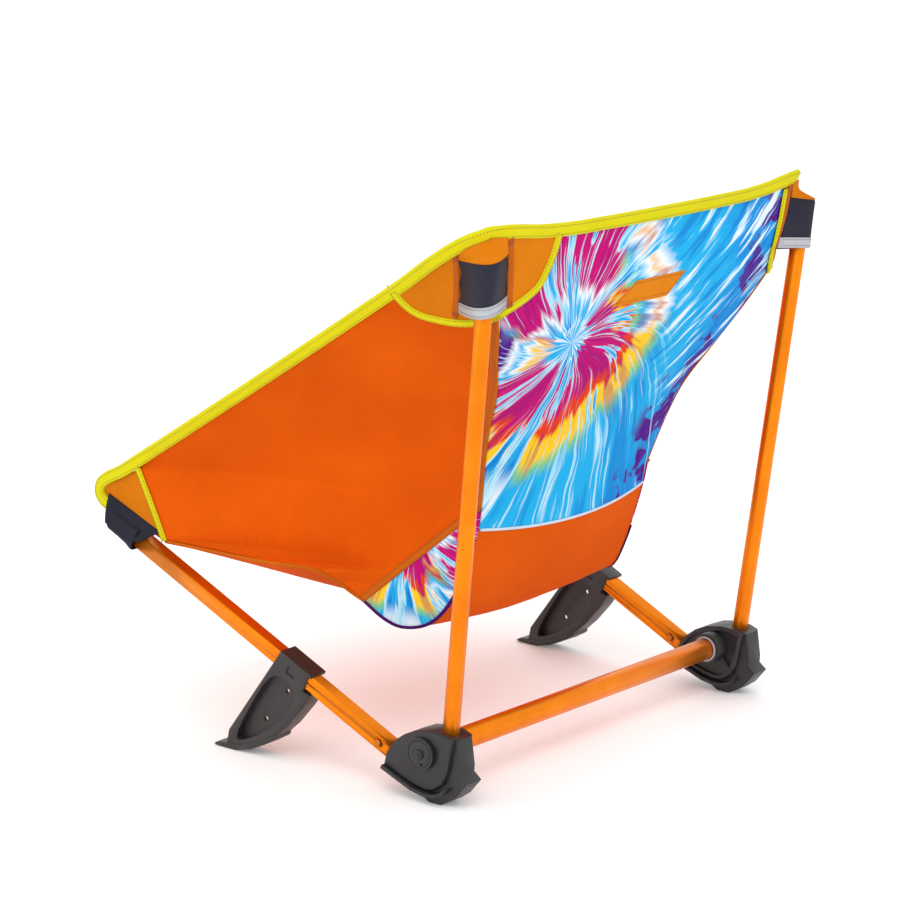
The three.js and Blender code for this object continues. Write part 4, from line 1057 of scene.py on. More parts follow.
FLOOR_HEIGHT, HEM_SAG = 112.0, 42.0
hem_end = rail_tip + (-14, 10, 2)
scoop_points = [seam_foot + (3.5, -23, -65), seam_foot + (14, -47, -98), seam_foot + (26, -72, -104),
                floor_corner + (-10, 20, -18)]
front_run = [side_front(lerp(floor_corner[2], patch_foot[2], f)) + (0, -1, -0.8) for f in (0.25, 0.48, 0.7, 0.88, 0.95)]
floor_edge = curve_through([seam_foot, *scoop_points, floor_corner, *front_run, patch_foot + (-1, 0, -1), hem_end])
floor_middle = curve_through([
    V(0, back_at(back_foot(0), 0)[1], back_foot(0)), V(0, seam_foot[1] - 14, lerp(seam_foot[2], FLOOR_HEIGHT, 0.5)),
    V(0, seam_foot[1] - 46, lerp(seam_foot[2], FLOOR_HEIGHT, 0.86)), V(0, floor_corner[1] + 27, FLOOR_HEIGHT + 4),
    V(0, floor_corner[1] - 8, FLOOR_HEIGHT), V(0, lerp(floor_corner[1], hem_end[1], 0.45), FLOOR_HEIGHT + 8),
    V(0, lerp(floor_corner[1], hem_end[1], 0.8), lerp(FLOOR_HEIGHT, hem_end[2] - HEM_SAG, 0.62)),
    V(0, hem_end[1] + 14, hem_end[2] - HEM_SAG),
])


def floor_at(k, v):
    edge, middle = floor_edge(v), floor_middle(v)
    a = abs(k)
    climb = a ** lerp(2.4, 1.7, smoothstep(v, 0, 0.6))
    return V(edge[0] * k, lerp(middle[1], edge[1], a**2), lerp(middle[2], edge[2], climb))


def floor_surface(u, v):
    return floor_at(lerp(1, -1, u), lerp(1, 0, v))


def floor_folds(u, v, s, t):
    """Creases that fan across the lower back, and a little slack on the flat."""
    x = lerp(1, -1, u)
    rear = np.clip((v - 0.62) / 0.3, 0, 1)
    crease = np.sin(9 * x + 5.5 * v) ** 3 * np.exp(-((np.abs(x) - 0.35) ** 2) / 0.25)
    slack = np.sin(7 * v + 3 * x) * (1 - rear)
    return -1.3 * crease * rear * np.sin(math.pi * np.clip(v, 0, 1)) + 0.8 * slack


seat, seat_flat, seat_area = cloth("floor_cloth", floor_surface, 120, 130, 1.0, orange_canvas, 0.0, floor_folds)
place_sewn(seat, "left", "canvas", ["seat_floor"])
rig.sheet(seat, flat=seat_flat, held="stretched", rests_on=["left_seat_rail", "right_seat_rail"],
         area=min(seat_area, seat_flat[0] * seat_flat[1]))
print("floor flat", [round(f, 3) for f in seat_flat], "m, area", round(seat_area, 4))

# %% [markdown]
# ### Gussets and corner patches
# A tie-dyed gusset closes each rear lower corner. Yellow-orange patches double the cloth where the
# poles pull: a half-moon over each rear corner and a triangle over each front corner.

# %% Gussets
scoop = curve_through([floor_corner, *reversed(scoop_points), seam_foot + (0.5, 1, 1), gusset_top])


def gusset(u, v):
    t = lerp(0.01, 0.985, u)
    tape, hem = lerp(floor_corner, gusset_top, t), scoop(t)
    swell = 4 * math.sin(math.pi * v) * math.sin(math.pi * t)
    return lerp(hem, tape, v) + V(swell, swell * 0.4, 0)


both_sides("gusset_cloth", gusset, 60, 36, 1.0, gusset_dye, "printed_fabric", node="gusset",
           ripple=pucker(8.0, 0.2, 4.0))

# %% Front corner patches
def front_patch(u, v):
    rear = lerp(patch_foot, patch_head, lerp(0.0, 0.97, v))
    low, high = front_corner + (0, 16, -10), front_corner + (0, 6, 3)
    nose = lerp(low, high, v) + V(0, -4 * math.sin(math.pi * v), 0)
    sag = V(0, 0, -2.5 * math.sin(math.pi * u) * (1 - v))
    return lerp(rear, nose, u) + sag


both_sides("front_patch", front_patch, 34, 24, 1.0, patch_canvas, "patch_fabric", node="front_corner_patch",
           lift=1.3, ripple=pucker(7.0, 0.15, 3.0))

# %% Rear corner patches
PATCH_DROP = {
    "left": ((-110, 56), (-90, 80), (-62, 88), (-28, 87), (10, 73), (49, 56), (66, 39), (80, 22), (89, 9)),
    "right": ((-110, 56), (-90, 80), (-62, 90), (-28, 93), (0, 91), (12, 78), (20, 60), (27, 36), (33, 9)),
}
PATCH_LIFT = 1.7
TAPE_COVER = 7.0


def patch_low(a, side="left"):
    return rear_corner[2] - read_off(PATCH_DROP[side], a)


def rear_patch(side):
    table = PATCH_DROP[side]

    def surface(u, v):
        a = lerp(table[0][0], table[-1][0], u)
        low = patch_low(a, side)
        return wall(a, lerp(low, max(wall_top(a) - TAPE_COVER, low + 0.6), v))

    return surface


for side in ("left", "right"):
    shape = rear_patch(side) if side == "left" else mirror_surface(rear_patch(side))
    patch, patch_flat, patch_area = cloth(f"{side}_rear_patch", shape, 90, 26, 1.1, patch_canvas, PATCH_LIFT)
    place_sewn(patch, side, "patch_fabric", [f"{side}_rear_corner_patch"], moves=False)
    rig.sheet(patch, flat=patch_flat, held="stretched", rests_on=[f"{side}_upright"],
             area=min(patch_area, patch_flat[0] * patch_flat[1]))
    print(side, "rear patch flat", [round(f, 3) for f in patch_flat])

# %% [markdown]
# ## Tapes and bindings
# A tape is one cross-section carried along a path. The path's outward direction is known at every
# point from the cloth under it, so the tape lies flat on the cloth and rolls with it round a
# corner. The seat's edge is bound by a folded tape that runs in one length from one front corner,
# up the side, along the back and down to the other front corner.

# %% Carry a section along a path
def tape(name, path, facing, section, steps, material):
    """A closed tape: `section` is a loop of (across, out), path and facing are functions of 0..1."""
    shares = np.linspace(0, 1, steps + 1)
    centre = np.array([path(t) for t in shares])
    along = np.gradient(centre, axis=0)
    along /= np.linalg.norm(along, axis=1, keepdims=True)
    out = np.array([facing(t) for t in shares])
    out -= along * np.sum(out * along, axis=1, keepdims=True)
    out /= np.linalg.norm(out, axis=1, keepdims=True)
    across = np.cross(out, along)
    ring = np.array(section, float)
    points = centre[:, None, :] + across[:, None, :] * ring[None, :, :1] + out[:, None, :] * ring[None, :, 1:]
    gone = np.concatenate([[0], np.cumsum(np.linalg.norm(np.diff(centre, axis=0), axis=1))]) * 0.001
    round_ = np.concatenate([[0], np.cumsum(np.linalg.norm(np.diff(ring, axis=0), axis=1))]) * 0.001
    uv = np.stack(np.meshgrid(gone, round_, indexing="ij"), axis=2).reshape(-1, 2)
    n = len(ring)
    faces = [(i * n + j, i * n + (j + 1) % n, (i + 1) * n + (j + 1) % n, (i + 1) * n + j)
             for i in range(steps) for j in range(n)]
    faces += [tuple(range(n)), tuple(range(steps * n, (steps + 1) * n))]
    piece = mesh_piece(name, to_metres(points.reshape(-1, 3)), faces, uv, material)
    work = bmesh.new()
    work.from_mesh(piece.data)
    bmesh.ops.recalc_face_normals(work, faces=work.faces)
    work.to_mesh(piece.data)
    work.free()
    return piece


def flat_section(width, thickness):
    """A woven tape lying flat, with soft rims."""
    w, h = width / 2, thickness / 2
    return [(0.05, -h), (w - 0.4, -h), (w, -h * 0.2), (w - 0.5, h * 0.85), (w * 0.5, h), (0, h * 1.15), (-w * 0.5, h),
            (-w + 0.5, h * 0.85), (-w, -h * 0.2), (-w + 0.4, -h), (-0.05, -h)]


def folded_section(width, thickness):
    """A tape folded in two over an edge, open below."""
    w, h = width / 2, thickness / 2
    return [(-w, -0.5), (-w, -h * 0.75), (-w + 0.8, -h), (-w * 0.4, -h * 0.92), (w * 0.4, -h), (w - 0.9, -h * 0.8),
            (w, 0), (w - 0.9, h * 0.8), (w * 0.4, h), (-w * 0.4, h * 0.92), (-w + 0.8, h), (-w, h * 0.75), (-w, 0.5)]


def both_tapes(name, path, facing, section, steps, material, slot, moves=True):
    made = []
    for side, flip in (("left", V(1, 1, 1)), ("right", V(-1, 1, 1))):
        piece = tape(f"{side}_{name}", lambda t: path(t) * flip, lambda t: facing(t) * flip, section, steps, material)
        made.append(place_sewn(piece, side, slot, (), moves))
    return made


# %% Edge binding
def top_facing(z):
    length = float(np.linalg.norm(side_front(z) - side_rear(z)))
    return outward(wall, -(length - 4), z)


half_line = [(front_corner + offset, V(1, 0, 0)) for offset in
             ((0, 14, -15.5), (0, 6, -12), (0, 0.5, -4.5), (0, 2.5, 5), (0, 13, 13))]
half_line.append((binding_start + (1.2, 0, 1.6), V(1, 0, 0)))
for share in (0.10, 0.22, 0.35, 0.48, 0.60, 0.71, 0.80):
    z = lerp(binding_start[2], rear_corner[2], share)
    half_line.append((top_edge(z) + (1.2, 0, 1.6), top_facing(z)))
for a in (-60, -48, -36, -25, -15, -5, 5, 15, 26, 40):
    z = wall_top(a) - 3
    facing = outward(wall, a, min(z, rear_corner[2] - 4))
    half_line.append((wall(a, min(z, rear_corner[2] - 1)) * (1, 1, 0) + V(0, 0, z) + facing * 1.6, facing))
for k in (0.72, 0.55, 0.38, 0.2):
    facing = outward(wall, rear_corner[0] * (1 - k), rear_corner[2] - 4)
    half_line.append((back_at(back_top(k), k * rear_corner[0]) * (1, 1, 0) + V(0, 0, back_top(k) - 3), facing))
mirror_half = [(p * (-1, 1, 1), n * (-1, 1, 1)) for p, n in reversed(half_line)]
middle = [(V(0, back_at(back_top(0), 0)[1], back_top(0) - 3), V(0, 1, 0))]
edge_line = half_line + middle + mirror_half
edge_path = curve_through([p for p, _ in edge_line], 900)
knots = np.array([p for p, _ in edge_line])
edge_shares = np.concatenate([[0], np.cumsum(np.linalg.norm(np.diff(knots, axis=0), axis=1))])
edge_shares /= edge_shares[-1]


def edge_facing(t):
    return unit(np.array([np.interp(t, edge_shares, [n[i] for _, n in edge_line]) for i in range(3)]))


binding = tape("edge_binding", edge_path, edge_facing, folded_section(12.6, 5.6), 620, neon_tape)
place_sewn(binding, "left", "binding_tape", ["left_side_binding", "right_side_binding", "back_binding"])
print("binding length", round(edge_path.length / 1000, 3), "m")

# %% Patch tapes and seam tapes
def on_wall(a_of, z_of, lift):
    def path(t):
        a, z = a_of(t), z_of(t)
        return wall(a, z) + outward(wall, a, z) * lift
    return path, lambda t: outward(wall, a_of(t), z_of(t))


for side, flip in (("left", V(1, 1, 1)), ("right", V(-1, 1, 1))):
    table = PATCH_DROP[side]
    patch_a = lambda t: lerp(table[-1][0], table[0][0] + 6, t)
    path, facing = on_wall(patch_a, lambda t: patch_low(patch_a(t), side) + 1.8, PATCH_LIFT + 1.0)
    edge = tape(f"{side}_patch_edge", lambda t: path(t) * flip, lambda t: facing(t) * flip, flat_section(8.2, 1.6),
                120, neon_tape)
    place_sewn(edge, side, "binding_tape", (), moves=False)

diagonal = curve_through([patch_foot + (0.4, -0.6, -1), lerp(patch_foot, patch_head, 0.25) + (0.9, 0, 0),
                          lerp(patch_foot, patch_head, 0.6) + (0.9, 0, 0), patch_head + (0.5, 0, -2)])
both_tapes("front_patch_edge", diagonal, lambda t: V(1, -0.05, -0.1), flat_section(7.4, 2.0), 40, neon_tape,
           "binding_tape")

seam_z = lambda t: lerp(seam_foot[2] + 1, patch_low(-4) + 1, t)
seam_path, seam_facing = on_wall(lambda t: -3.8, seam_z, 1.0)
both_tapes("back_seam_tape", seam_path, seam_facing,
           flat_section(8.6, 1.7), 60, edge_tape, "canvas", moves=False)

gusset_facing = unit(np.cross(gusset_top - floor_corner, side_at(260, 120) - gusset_top))
gusset_facing = gusset_facing * np.sign(gusset_facing[0])
gusset_line = lambda t: lerp(floor_corner, gusset_top, lerp(0.0, 0.985, t)) + gusset_facing * 1.1
both_tapes("gusset_tape", gusset_line, lambda t: gusset_facing, flat_section(7.5, 1.4), 50, edge_tape, "canvas")

both_tapes("gusset_hem", lambda t: scoop(lerp(0.0, 0.64, t)) + V(0.6, 0.5, -0.4), lambda t: V(0.7, 0.4, -0.6),
           flat_section(4.0, 1.6), 70, purple_edge, "canvas")

side_foot_curve = curve_through([floor_corner, *front_run, patch_foot + (-1, 0, -1)])
both_tapes("side_foot_seam", lambda t: side_foot_curve(lerp(0.0, 1.0, t)) + V(0.4, 0, -0.8), lambda t: V(0.8, 0, -0.6),
           flat_section(4.2, 1.8), 80, edge_tape, "canvas")

foot_k = lambda t: lerp(0.99, -0.99, t)
back_hem = tape("back_foot_seam", lambda t: back_at(back_foot(foot_k(t)), back_seam(back_foot(foot_k(t)))[0] * foot_k(t))
                + V(0, 0.7, -0.6), lambda t: V(0, 1, -0.1), flat_section(3.0, 1.5), 90, pale_piping)
place_sewn(back_hem, "left", "canvas", (), moves=False)

hem = tape("front_hem", lambda t: floor_at(foot_k(t), 0.999) + V(0, 2.0, 0), lambda t: V(0, 0, -1), flat_section(15.0, 2.4),
           100, edge_tape)
place_sewn(hem, "left", "canvas")

# %% [markdown]
# ## Pole pockets
# The uprights end in black coated sleeves sewn across the rounded rear corners between two upright
# tapes. A grey reflective strip closes the mouth and an orange flap covers the top. The rails end
# in black cups under the front corners.

# %% Rear sleeves
corner_out = unit(V(0.62, 0.78, 0))
SLEEVE_FOOT, SLEEVE_HEAD = (465.0, 474.0), (517.0, 525.0)
STRIP_HEIGHT = 10.0


def pole_at(z):
    return upright_foot + upright_along * ((z - upright_foot[2]) / upright_along[2])


def sleeve_edge(z, aft, side="left"):
    """The way round the wall of the sleeve's front or rear edge: the two close in towards the foot."""
    drop = rear_corner[2] - z
    if aft:
        return 18.7 - (drop - 16) * 0.22
    return -30.9 - (drop - 24) * 0.18


def sleeve_at(u, z, bulge, lift=0.0, side="left"):
    """A point of cloth that bows over the pole from tape to tape: bulge 0 lies on the patch instead."""
    low_z = min(z, rear_corner[2] - 1)
    first, last = sleeve_edge(z, False, side), sleeve_edge(z, True, side)
    ways = (first, (first + last) / 2, last)
    fore, resting, aft = [(wall(a, low_z) + outward(wall, a, low_z) * (PATCH_LIFT + 1.0))[:2] for a in ways]
    middle = (fore + aft) / 2
    out = unit(pole_at(z)[:2] - middle)
    apex = lerp(resting, pole_at(z)[:2] + out * (UPRIGHT_RADIUS + 2.4), bulge)
    control = apex * 2 - middle
    spot = fore * (1 - u) ** 2 + control * 2 * u * (1 - u) + aft * u**2
    run = (control - fore) * (1 - u) + (aft - control) * u
    off = unit(np.array([run[1], -run[0]]))
    spot = spot + off * lift * np.sign(off @ out)
    return V(spot[0], spot[1], z)


def sleeve_foot(u):
    return lerp(*SLEEVE_FOOT, u)


def sleeve_head(u):
    return lerp(*SLEEVE_HEAD, u**2.2) + 0.8 * math.sin(5 * u)


def closing(z):
    return 1 - 0.80 * smoothstep(z, 516, 536)


def sleeve_folds(u, v, s, t):
    mound = np.sin(math.pi * u)
    return 0.35 * np.sin(u * 8 + v * 4) * mound + 0.45 * np.sin(v * 15 + 3 * u) * np.exp(-np.minimum(u, 1 - u) * 8)


def flap_point(u, v, side):
    """The orange flap over the sleeve's head: it stands off at its lower hem and is dimpled in the middle."""
    top = wall_top(lerp(-32, 20, u)) - TAPE_COVER - 1
    z = lerp(sleeve_head(u), top, v)
    dimple = 0.30 * math.exp(-((u - 0.55) / 0.14) ** 2) * smoothstep(v, 0.25, 0.55) * (1 - v)
    bulge = max(closing(z) - dimple, 0.02) * lerp(1.0, 0.30, v)
    return sleeve_at(u, z, bulge, lerp(1.5, 0.7, v), side)


def beside_sleeve(aft, offset, side):
    """A line up the patch, a few millimetres outside the sleeve's front or rear edge."""
    def path(t):
        z = lerp(472, 538, t) if aft else lerp(459, 522, t)
        a = sleeve_edge(z, aft, side) + offset
        low_z = min(z, rear_corner[2] - 1)
        point = wall(a, low_z) + outward(wall, a, low_z) * (PATCH_LIFT + 1.5)
        point[2] = z
        return point
    return path, lambda t: unit(V(0.3, 1, 0)) if aft else unit(V(1, 0.15, 0))


SLEEVE_TAPES = (("fore", False, -4.5), ("aft", True, 4.5))
for side, flip in (("left", V(1, 1, 1)), ("right", V(-1, 1, 1))):
    shapes = {
        "rear_sleeve": (lambda u, v: sleeve_at(
            u, lerp(sleeve_foot(u), sleeve_head(u) + 2, v), closing(lerp(sleeve_foot(u), sleeve_head(u) + 2, v)),
            0, side), 48, 30, 1.3, black_sleeve, "sleeve", "rear_pocket", sleeve_folds),
        "reflective_strip": (lambda u, v: sleeve_at(u, sleeve_foot(u) + lerp(-0.6, STRIP_HEIGHT, v), 1.0, 1.3, side),
                             48, 6, 0.8, reflective_strip, "reflective", "reflective_band", None),
        "sleeve_flap": (lambda u, v: flap_point(u, v, side), 40, 18, 1.1, patch_canvas, "patch_fabric", None, None),
    }
    for name, (surface, columns, rows, thickness, finish, slot, node, folds) in shapes.items():
        mirrored = lambda u, v: surface(u, v) * flip
        if side == "left":
            mirrored = lambda u, v: surface(1 - u, v)
        piece, flat, area = cloth(f"{side}_{name}", mirrored, columns, rows, thickness, finish, 0.0, folds)
        place_sewn(piece, side, slot, [f"{side}_{node}"] if node else (), moves=False)
        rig.sheet(piece, flat=flat, held="stretched", rests_on=[f"{side}_upright"], area=min(area, flat[0] * flat[1]))
        print(piece.name, "flat", [round(f, 3) for f in flat])
    for name, aft, offset in SLEEVE_TAPES:
        path, facing = beside_sleeve(aft, offset, side)
        strap = tape(f"{side}_sleeve_tape_{name}", lambda t: path(t) * flip, lambda t: facing(t) * flip,
                     flat_section(6.6, 1.7), 30, edge_tape)
        place_sewn(strap, side, "patch_fabric", (), moves=False)

# %% Front cups
rail_side = unit(np.cross(rail_up, rail_along))
CUP = ((-31, 11.6, 0.8), (-29, 11.9, 0.6), (-22, 11.2, 0.2), (-10, 10.9, 0), (0, 10.9, 0), (5, 10.6, 0), (8, 9.4, 0),
       (9.6, 6.5, 0), (10.2, 2.5, 0), (10.3, 0.05, 0))
around_cup = np.linspace(0, 2 * math.pi, 41)[:-1]


def cup_ring(s, half, flare, inset):
    size = max(half - inset, 0.04)
    ring = []
    for angle in around_cup:
        c, d = math.cos(angle), math.sin(angle)
        bend = (abs(c) ** 4.5 + abs(d) ** 4.5) ** (-1 / 4.5)
        crease = 0.25 * math.sin(3 * angle + s * 0.5) + flare * max(0, -d)
        ring.append(rail_tip + rail_along * (s - inset * (s > 9)) + rail_side * (c * bend * (size + crease * 0.4))
                    + rail_up * (d * bend * (size + crease)))
    return ring


def cup(name, flip):
    rings = [cup_ring(s, half, flare, 0.0) for s, half, flare in CUP]
    rings += [cup_ring(s, half, flare, 1.2) for s, half, flare in reversed(CUP)]
    points = np.array(rings).reshape(-1, 3) * flip
    n, rows = len(around_cup), len(rings)
    faces = [(i * n + j, i * n + (j + 1) % n, (i + 1) * n + (j + 1) % n, (i + 1) * n + j)
             for i in range(rows - 1) if i != len(CUP) - 1 for j in range(n)]
    faces += [((rows - 1) * n + j, (rows - 1) * n + (j + 1) % n, (j + 1) % n, j) for j in range(n)]
    faces += [tuple(range((len(CUP) - 1) * n, len(CUP) * n)), tuple(range(len(CUP) * n, (len(CUP) + 1) * n))]
    uv = np.array([(i * 0.005, j * 0.0022) for i in range(rows) for j in range(n)])
    piece = mesh_piece(name, to_metres(points), faces, uv, black_sleeve)
    work = bmesh.new()
    work.from_mesh(piece.data)
    bmesh.ops.recalc_face_normals(work, faces=work.faces)
    work.to_mesh(piece.data)
    work.free()
    return piece


for side, flip in (("left", V(1, 1, 1)), ("right", V(-1, 1, 1))):
    piece = cup(f"{side}_front_cup", flip)
    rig.replaces(piece, f"{side}_front_pocket")
    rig.slot(piece, "sleeve")
    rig.ride(piece, f"{side}_rail")


def cup_web(u, v):
    """Black cloth that ties the cup to the front patch's lower edge."""
    low = rail_tip + rail_along * lerp(-36, 8, u) + rail_side * 12.0 + rail_up * lerp(2.0, -4.0, u)
    high = lerp(patch_foot + (-0.5, -5, 5), front_corner + (-0.5, 13, -6), u) + V(0, 0, 2.0)
    return lerp(low, high, v) + rail_side * (1.8 * math.sin(math.pi * v)) - V(0, 0, 3.0) * math.sin(math.pi * u) * (1 - v)


both_sides("cup_web", cup_web, 30, 14, 1.1, black_sleeve, "sleeve", declare=False)

# %% Label
def label(u, v):
    z = rear_corner[2] - 88 + 22 * v
    x = lerp(66, -19, u) - lerp(31, 24, u) * v
    return back_at(z, x)


label_piece, _, _ = cloth("back_label_cloth", label, 40, 12, 0.9, label_cloth, 1.3,
                          lambda u, v, s, t: -0.5 * np.exp(-np.minimum(np.minimum(u, 1 - u) * 9, np.minimum(v, 1 - v) * 6)))
place_sewn(label_piece, "left", "patch_fabric", ["back_label"], moves=False)
print(len(sewn), "sewn pieces")

# %% [markdown]
# ## Stitches
# Every row of stitches is a polyline a hair above the cloth. One Geometry Nodes tree turns such a
# line into thread: it steps along the line, lays a small lens of thread at each step, turned along
# the line, and joins them. The result is kept as a plain mesh, so it bends with the cloth it holds.

# %% The stitch tree
def stitch_tree():
    tree = bpy.data.node_groups.new("stitches", "GeometryNodeTree")
    face = tree.interface
    face.new_socket(name="Geometry", in_out="INPUT", socket_type="NodeSocketGeometry")
    for name, kind in (("Spacing", "Float"), ("Length", "Float"), ("Thread", "Float"), ("Seed", "Int"),
                       ("Material", "Material")):
        face.new_socket(name=name, in_out="INPUT", socket_type=f"NodeSocket{kind}")
    face.new_socket(name="Geometry", in_out="OUTPUT", socket_type="NodeSocketGeometry")
    add, join = tree.nodes.new, tree.links.new
    given, done = add("NodeGroupInput"), add("NodeGroupOutput")
    curve, points = add("GeometryNodeMeshToCurve"), add("GeometryNodeCurveToPoints")
    points.mode = "LENGTH"
    lens, size, scatter = add("GeometryNodeMeshUVSphere"), add("ShaderNodeCombineXYZ"), add("FunctionNodeRandomValue")
    lens.inputs["Segments"].default_value = 6
    lens.inputs["Rings"].default_value = 4
    lens.inputs["Radius"].default_value = 0.5
    scatter.data_type = "FLOAT"
    scatter.inputs[2].default_value = 0.86
    scatter.inputs[3].default_value = 1.10
    turn, place = add("FunctionNodeAlignRotationToVector"), add("GeometryNodeInstanceOnPoints")
    turn.axis = "Z"
    stretch = add("ShaderNodeMath")
    stretch.operation = "MULTIPLY"
    join(given.outputs["Geometry"], curve.inputs["Mesh"])
    join(curve.outputs["Curve"], points.inputs["Curve"])
    join(given.outputs["Spacing"], points.inputs["Length"])
    join(points.outputs["Tangent"], turn.inputs["Vector"])
    join(given.outputs["Seed"], scatter.inputs["Seed"])
    join(given.outputs["Length"], stretch.inputs[0])
    join(scatter.outputs[1], stretch.inputs[1])
    join(given.outputs["Thread"], size.inputs["X"])
    join(given.outputs["Thread"], size.inputs["Y"])
    join(stretch.outputs[0], size.inputs["Z"])
    join(points.outputs["Points"], place.inputs["Points"])
    join(lens.outputs["Mesh"], place.inputs["Instance"])
    join(turn.outputs["Rotation"], place.inputs["Rotation"])
    join(size.outputs["Vector"], place.inputs["Scale"])
    real, smooth = add("GeometryNodeRealizeInstances"), add("GeometryNodeSetShadeSmooth")
    paint = add("GeometryNodeSetMaterial")
    join(place.outputs["Instances"], real.inputs["Geometry"])
    join(real.outputs["Geometry"], smooth.inputs["Geometry"])
    join(smooth.outputs["Geometry"], paint.inputs["Geometry"])
    join(given.outputs["Material"], paint.inputs["Material"])
    join(paint.outputs["Geometry"], done.inputs["Geometry"])
    return tree


STITCHES = stitch_tree()


def stitch(name, runs, material, side="left", moves=True, slot="canvas", spacing=3.3, length=2.5, thread_mm=0.75):
    """Sew along runs of millimetre points, and hang the thread where its cloth hangs."""
    points, edges = [], []
    for run in runs:
        first = len(points)
        points += list(to_metres(run))
        edges += [(first + i, first + i + 1) for i in range(len(run) - 1)]
    mesh = bpy.data.meshes.new(name)
    mesh.from_pydata([tuple(p) for p in points], edges, [])
    guide = link(name, mesh, material)
    modifier = guide.modifiers.new("stitches", "NODES")
    modifier.node_group = STITCHES
    sockets = {item.name: item.identifier for item in STITCHES.interface.items_tree if item.in_out == "INPUT"}
    modifier[sockets["Spacing"]] = spacing * 0.001
    modifier[sockets["Length"]] = length * 0.001
    modifier[sockets["Thread"]] = thread_mm * 0.001
    modifier[sockets["Seed"]] = 7
    modifier[sockets["Material"]] = material
    sewn_mesh = bpy.data.meshes.new_from_object(guide.evaluated_get(bpy.context.evaluated_depsgraph_get()))
    guide.modifiers.clear()
    guide.data = sewn_mesh
    bpy.data.meshes.remove(mesh)
    return place_sewn(guide, side, slot, (), moves)


def row(path, facing, across_mm, out_mm, steps=160, zigzag=0.0, start=0.0, end=1.0):
    """A line of points beside a tape's middle, straight or zigzag."""
    shares = np.linspace(start, end, steps + 1)
    centre = np.array([path(t) for t in shares])
    along = np.gradient(centre, axis=0)
    along /= np.linalg.norm(along, axis=1, keepdims=True)
    out = np.array([facing(t) for t in shares])
    out -= along * np.sum(out * along, axis=1, keepdims=True)
    out /= np.linalg.norm(out, axis=1, keepdims=True)
    swing = across_mm + zigzag * np.where(np.arange(steps + 1) % 2, 1.0, -1.0)
    return centre + np.cross(out, along) * swing[:, None] + out * out_mm


# %% Rows of stitches
FLIPS = (("left", V(1, 1, 1)), ("right", V(-1, 1, 1)))
stitch("binding_stitches", [row(edge_path, edge_facing, across, out, 700) for across in (-4.3, 3.6) for out in (2.9, -2.9)],
       yellow_thread, slot="binding_tape")
for side, flip in FLIPS:
    table = PATCH_DROP[side]
    patch_a = lambda t: lerp(table[-1][0], table[0][0] + 6, t)
    path, facing = on_wall(patch_a, lambda t: patch_low(patch_a(t), side) + 1.8, PATCH_LIFT + 1.0)
    rows = [row(path, facing, across, 1.0, 140) * flip for across in (-2.7, 2.7)]
    stitch(f"{side}_patch_stitches", rows, yellow_thread, side, False, "binding_tape")
    facing = lambda t: V(1, -0.05, -0.1)
    rows = [row(diagonal, facing, across, 1.2, 60) * flip for across in (-2.5, 2.5)]
    stitch(f"{side}_front_patch_stitches", rows, yellow_thread, side, True, "binding_tape")
    rows = [row(gusset_line, lambda t: gusset_facing, across, 0.9, 60) * flip for across in (-2.6, 2.6)]
    rows.append(row(gusset_line, lambda t: gusset_facing, 0, 1.0, 9, 2.9, 0.955, 0.99) * flip)
    stitch(f"{side}_gusset_stitches", rows, orange_thread, side, True)
    rows = []
    for _, aft, offset in SLEEVE_TAPES:
        path, facing = beside_sleeve(aft, offset, side)
        rows.append(row(path, facing, 0, 1.0, 52, 1.9, 0.02, 0.98) * flip)
        rows += [row(path, facing, 0, 1.1, 12, 2.6, low, low + 0.07) * flip for low in (0.02, 0.90)]
    rows.append(row(seam_path, seam_facing, 0, 1.1, 150, 2.4) * flip)
    stitch(f"{side}_corner_stitches", rows, orange_thread, side, False, spacing=2.3, length=2.2, thread_mm=0.6)
    band = [np.array([sleeve_at(u, sleeve_foot(u) + high, 1.0, 2.0, side) for u in np.linspace(0.03, 0.97, 60)]) * flip
            for high in (1.8, 8.0)]
    stitch(f"{side}_strip_stitches", band, grey_thread, side, False, "reflective", spacing=2.8, length=1.9)

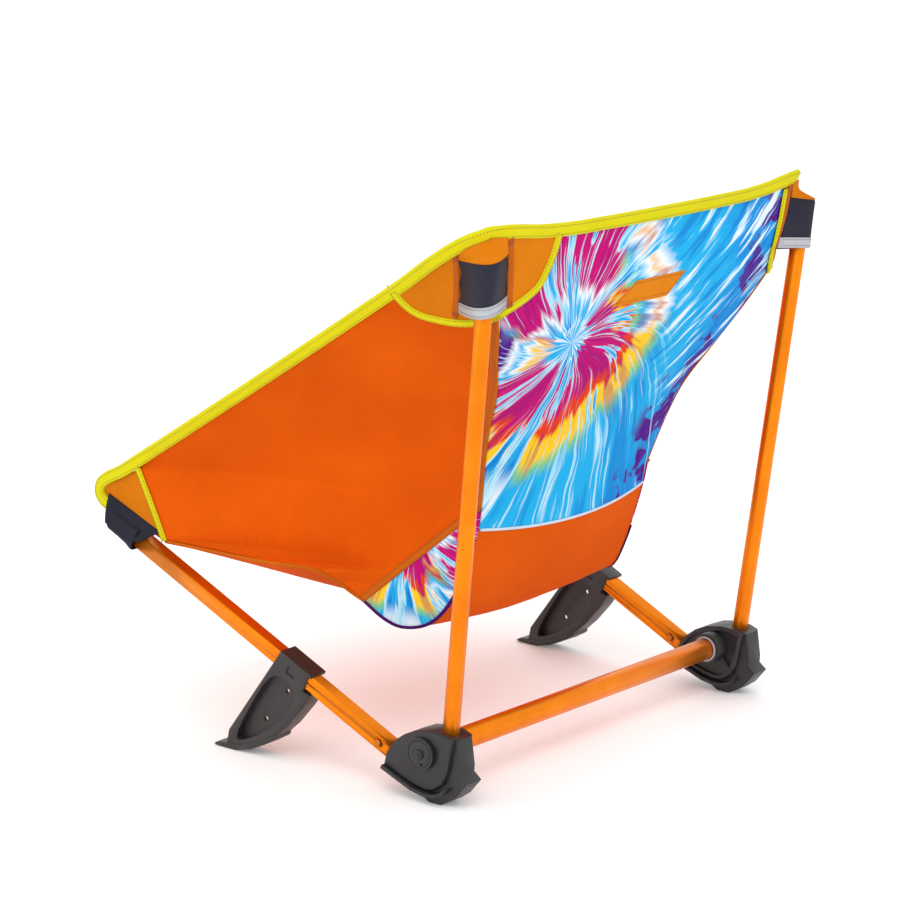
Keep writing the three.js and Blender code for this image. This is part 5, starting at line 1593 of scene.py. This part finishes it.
hem_rows = [np.array([floor_at(foot_k(t), 0.999) + V(0, 2.0 + shift, -1.4) for t in np.linspace(0, 1, 120)])
            for shift in (-5.5, 5.5)]
stitch("front_hem_stitches", hem_rows, orange_thread)
border = []
for ends in (((0.02, 0.12), (0.98, 0.12)), ((0.02, 0.88), (0.98, 0.88)), ((0.025, 0.1), (0.025, 0.9)),
             ((0.975, 0.1), (0.975, 0.9))):
    border.append(np.array([label(*(np.array(ends[0]) + (np.array(ends[1]) - ends[0]) * t)) + V(0, 2.0, 0.2)
                            for t in np.linspace(0, 1, 12)]))
stitch("label_stitches", border, orange_thread, moves=False, slot="patch_fabric", spacing=2.6, length=2.0, thread_mm=0.6)
print(len(sewn), "sewn pieces with their stitches")

# %% Studio floor and light
def softbox(name, place, aim, size, watts, colour=(1, 1, 1)):
    lamp = bpy.data.lights.new(name, "AREA")
    lamp.shape = "RECTANGLE"
    lamp.size, lamp.size_y = size
    lamp.energy = watts
    lamp.color = colour
    lamp_object = bpy.data.objects.new(name, lamp)
    bpy.context.scene.collection.objects.link(lamp_object)
    lamp_object.location = place
    lamp_object.rotation_euler = (Vector(aim) - Vector(place)).to_track_quat("-Z", "Y").to_euler()
    return lamp_object


floor_mesh = bpy.data.meshes.new("floor")
floor_mesh.from_pydata([(-30, -30, 0), (30, -30, 0), (30, 30, 0), (-30, 30, 0)], [], [(0, 1, 2, 3)])
floor_finish = Finish("floor", Roughness=0.6, Specular_IOR_Level=0.1, Emission_Strength=0.14)
shade = floor_finish.noise(floor_finish.object_place(), 1.5, 2.0)
floor_finish.put("Base Color", floor_finish.mix(shade * 0.2, (0.93, 0.925, 0.925), (0.90, 0.895, 0.895)))
floor = link("floor", floor_mesh, floor_finish.material)
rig.stage(floor)

world = bpy.data.worlds.new("studio")
world.use_nodes = True
world.node_tree.nodes["Background"].inputs["Color"].default_value = (1, 1, 1, 1)
world.node_tree.nodes["Background"].inputs["Strength"].default_value = 1.08
bpy.context.scene.world = world
softbox("key", (1.6, 1.4, 2.4), (0, 0, 0.2), (1.6, 1.6), 20)
softbox("front", (-1.8, -1.6, 2.2), (0, 0, 0.25), (1.8, 1.8), 10)
softbox("side", (2.6, -0.8, 1.0), (0, 0, 0.25), (1.2, 1.2), 5)

# %% Write the chair's extents
with open("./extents.json", "w") as sizes:
    json.dump({"cad": cad_box, "visual": [list(c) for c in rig.bounds()]}, sizes)
print(open("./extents.json").read())
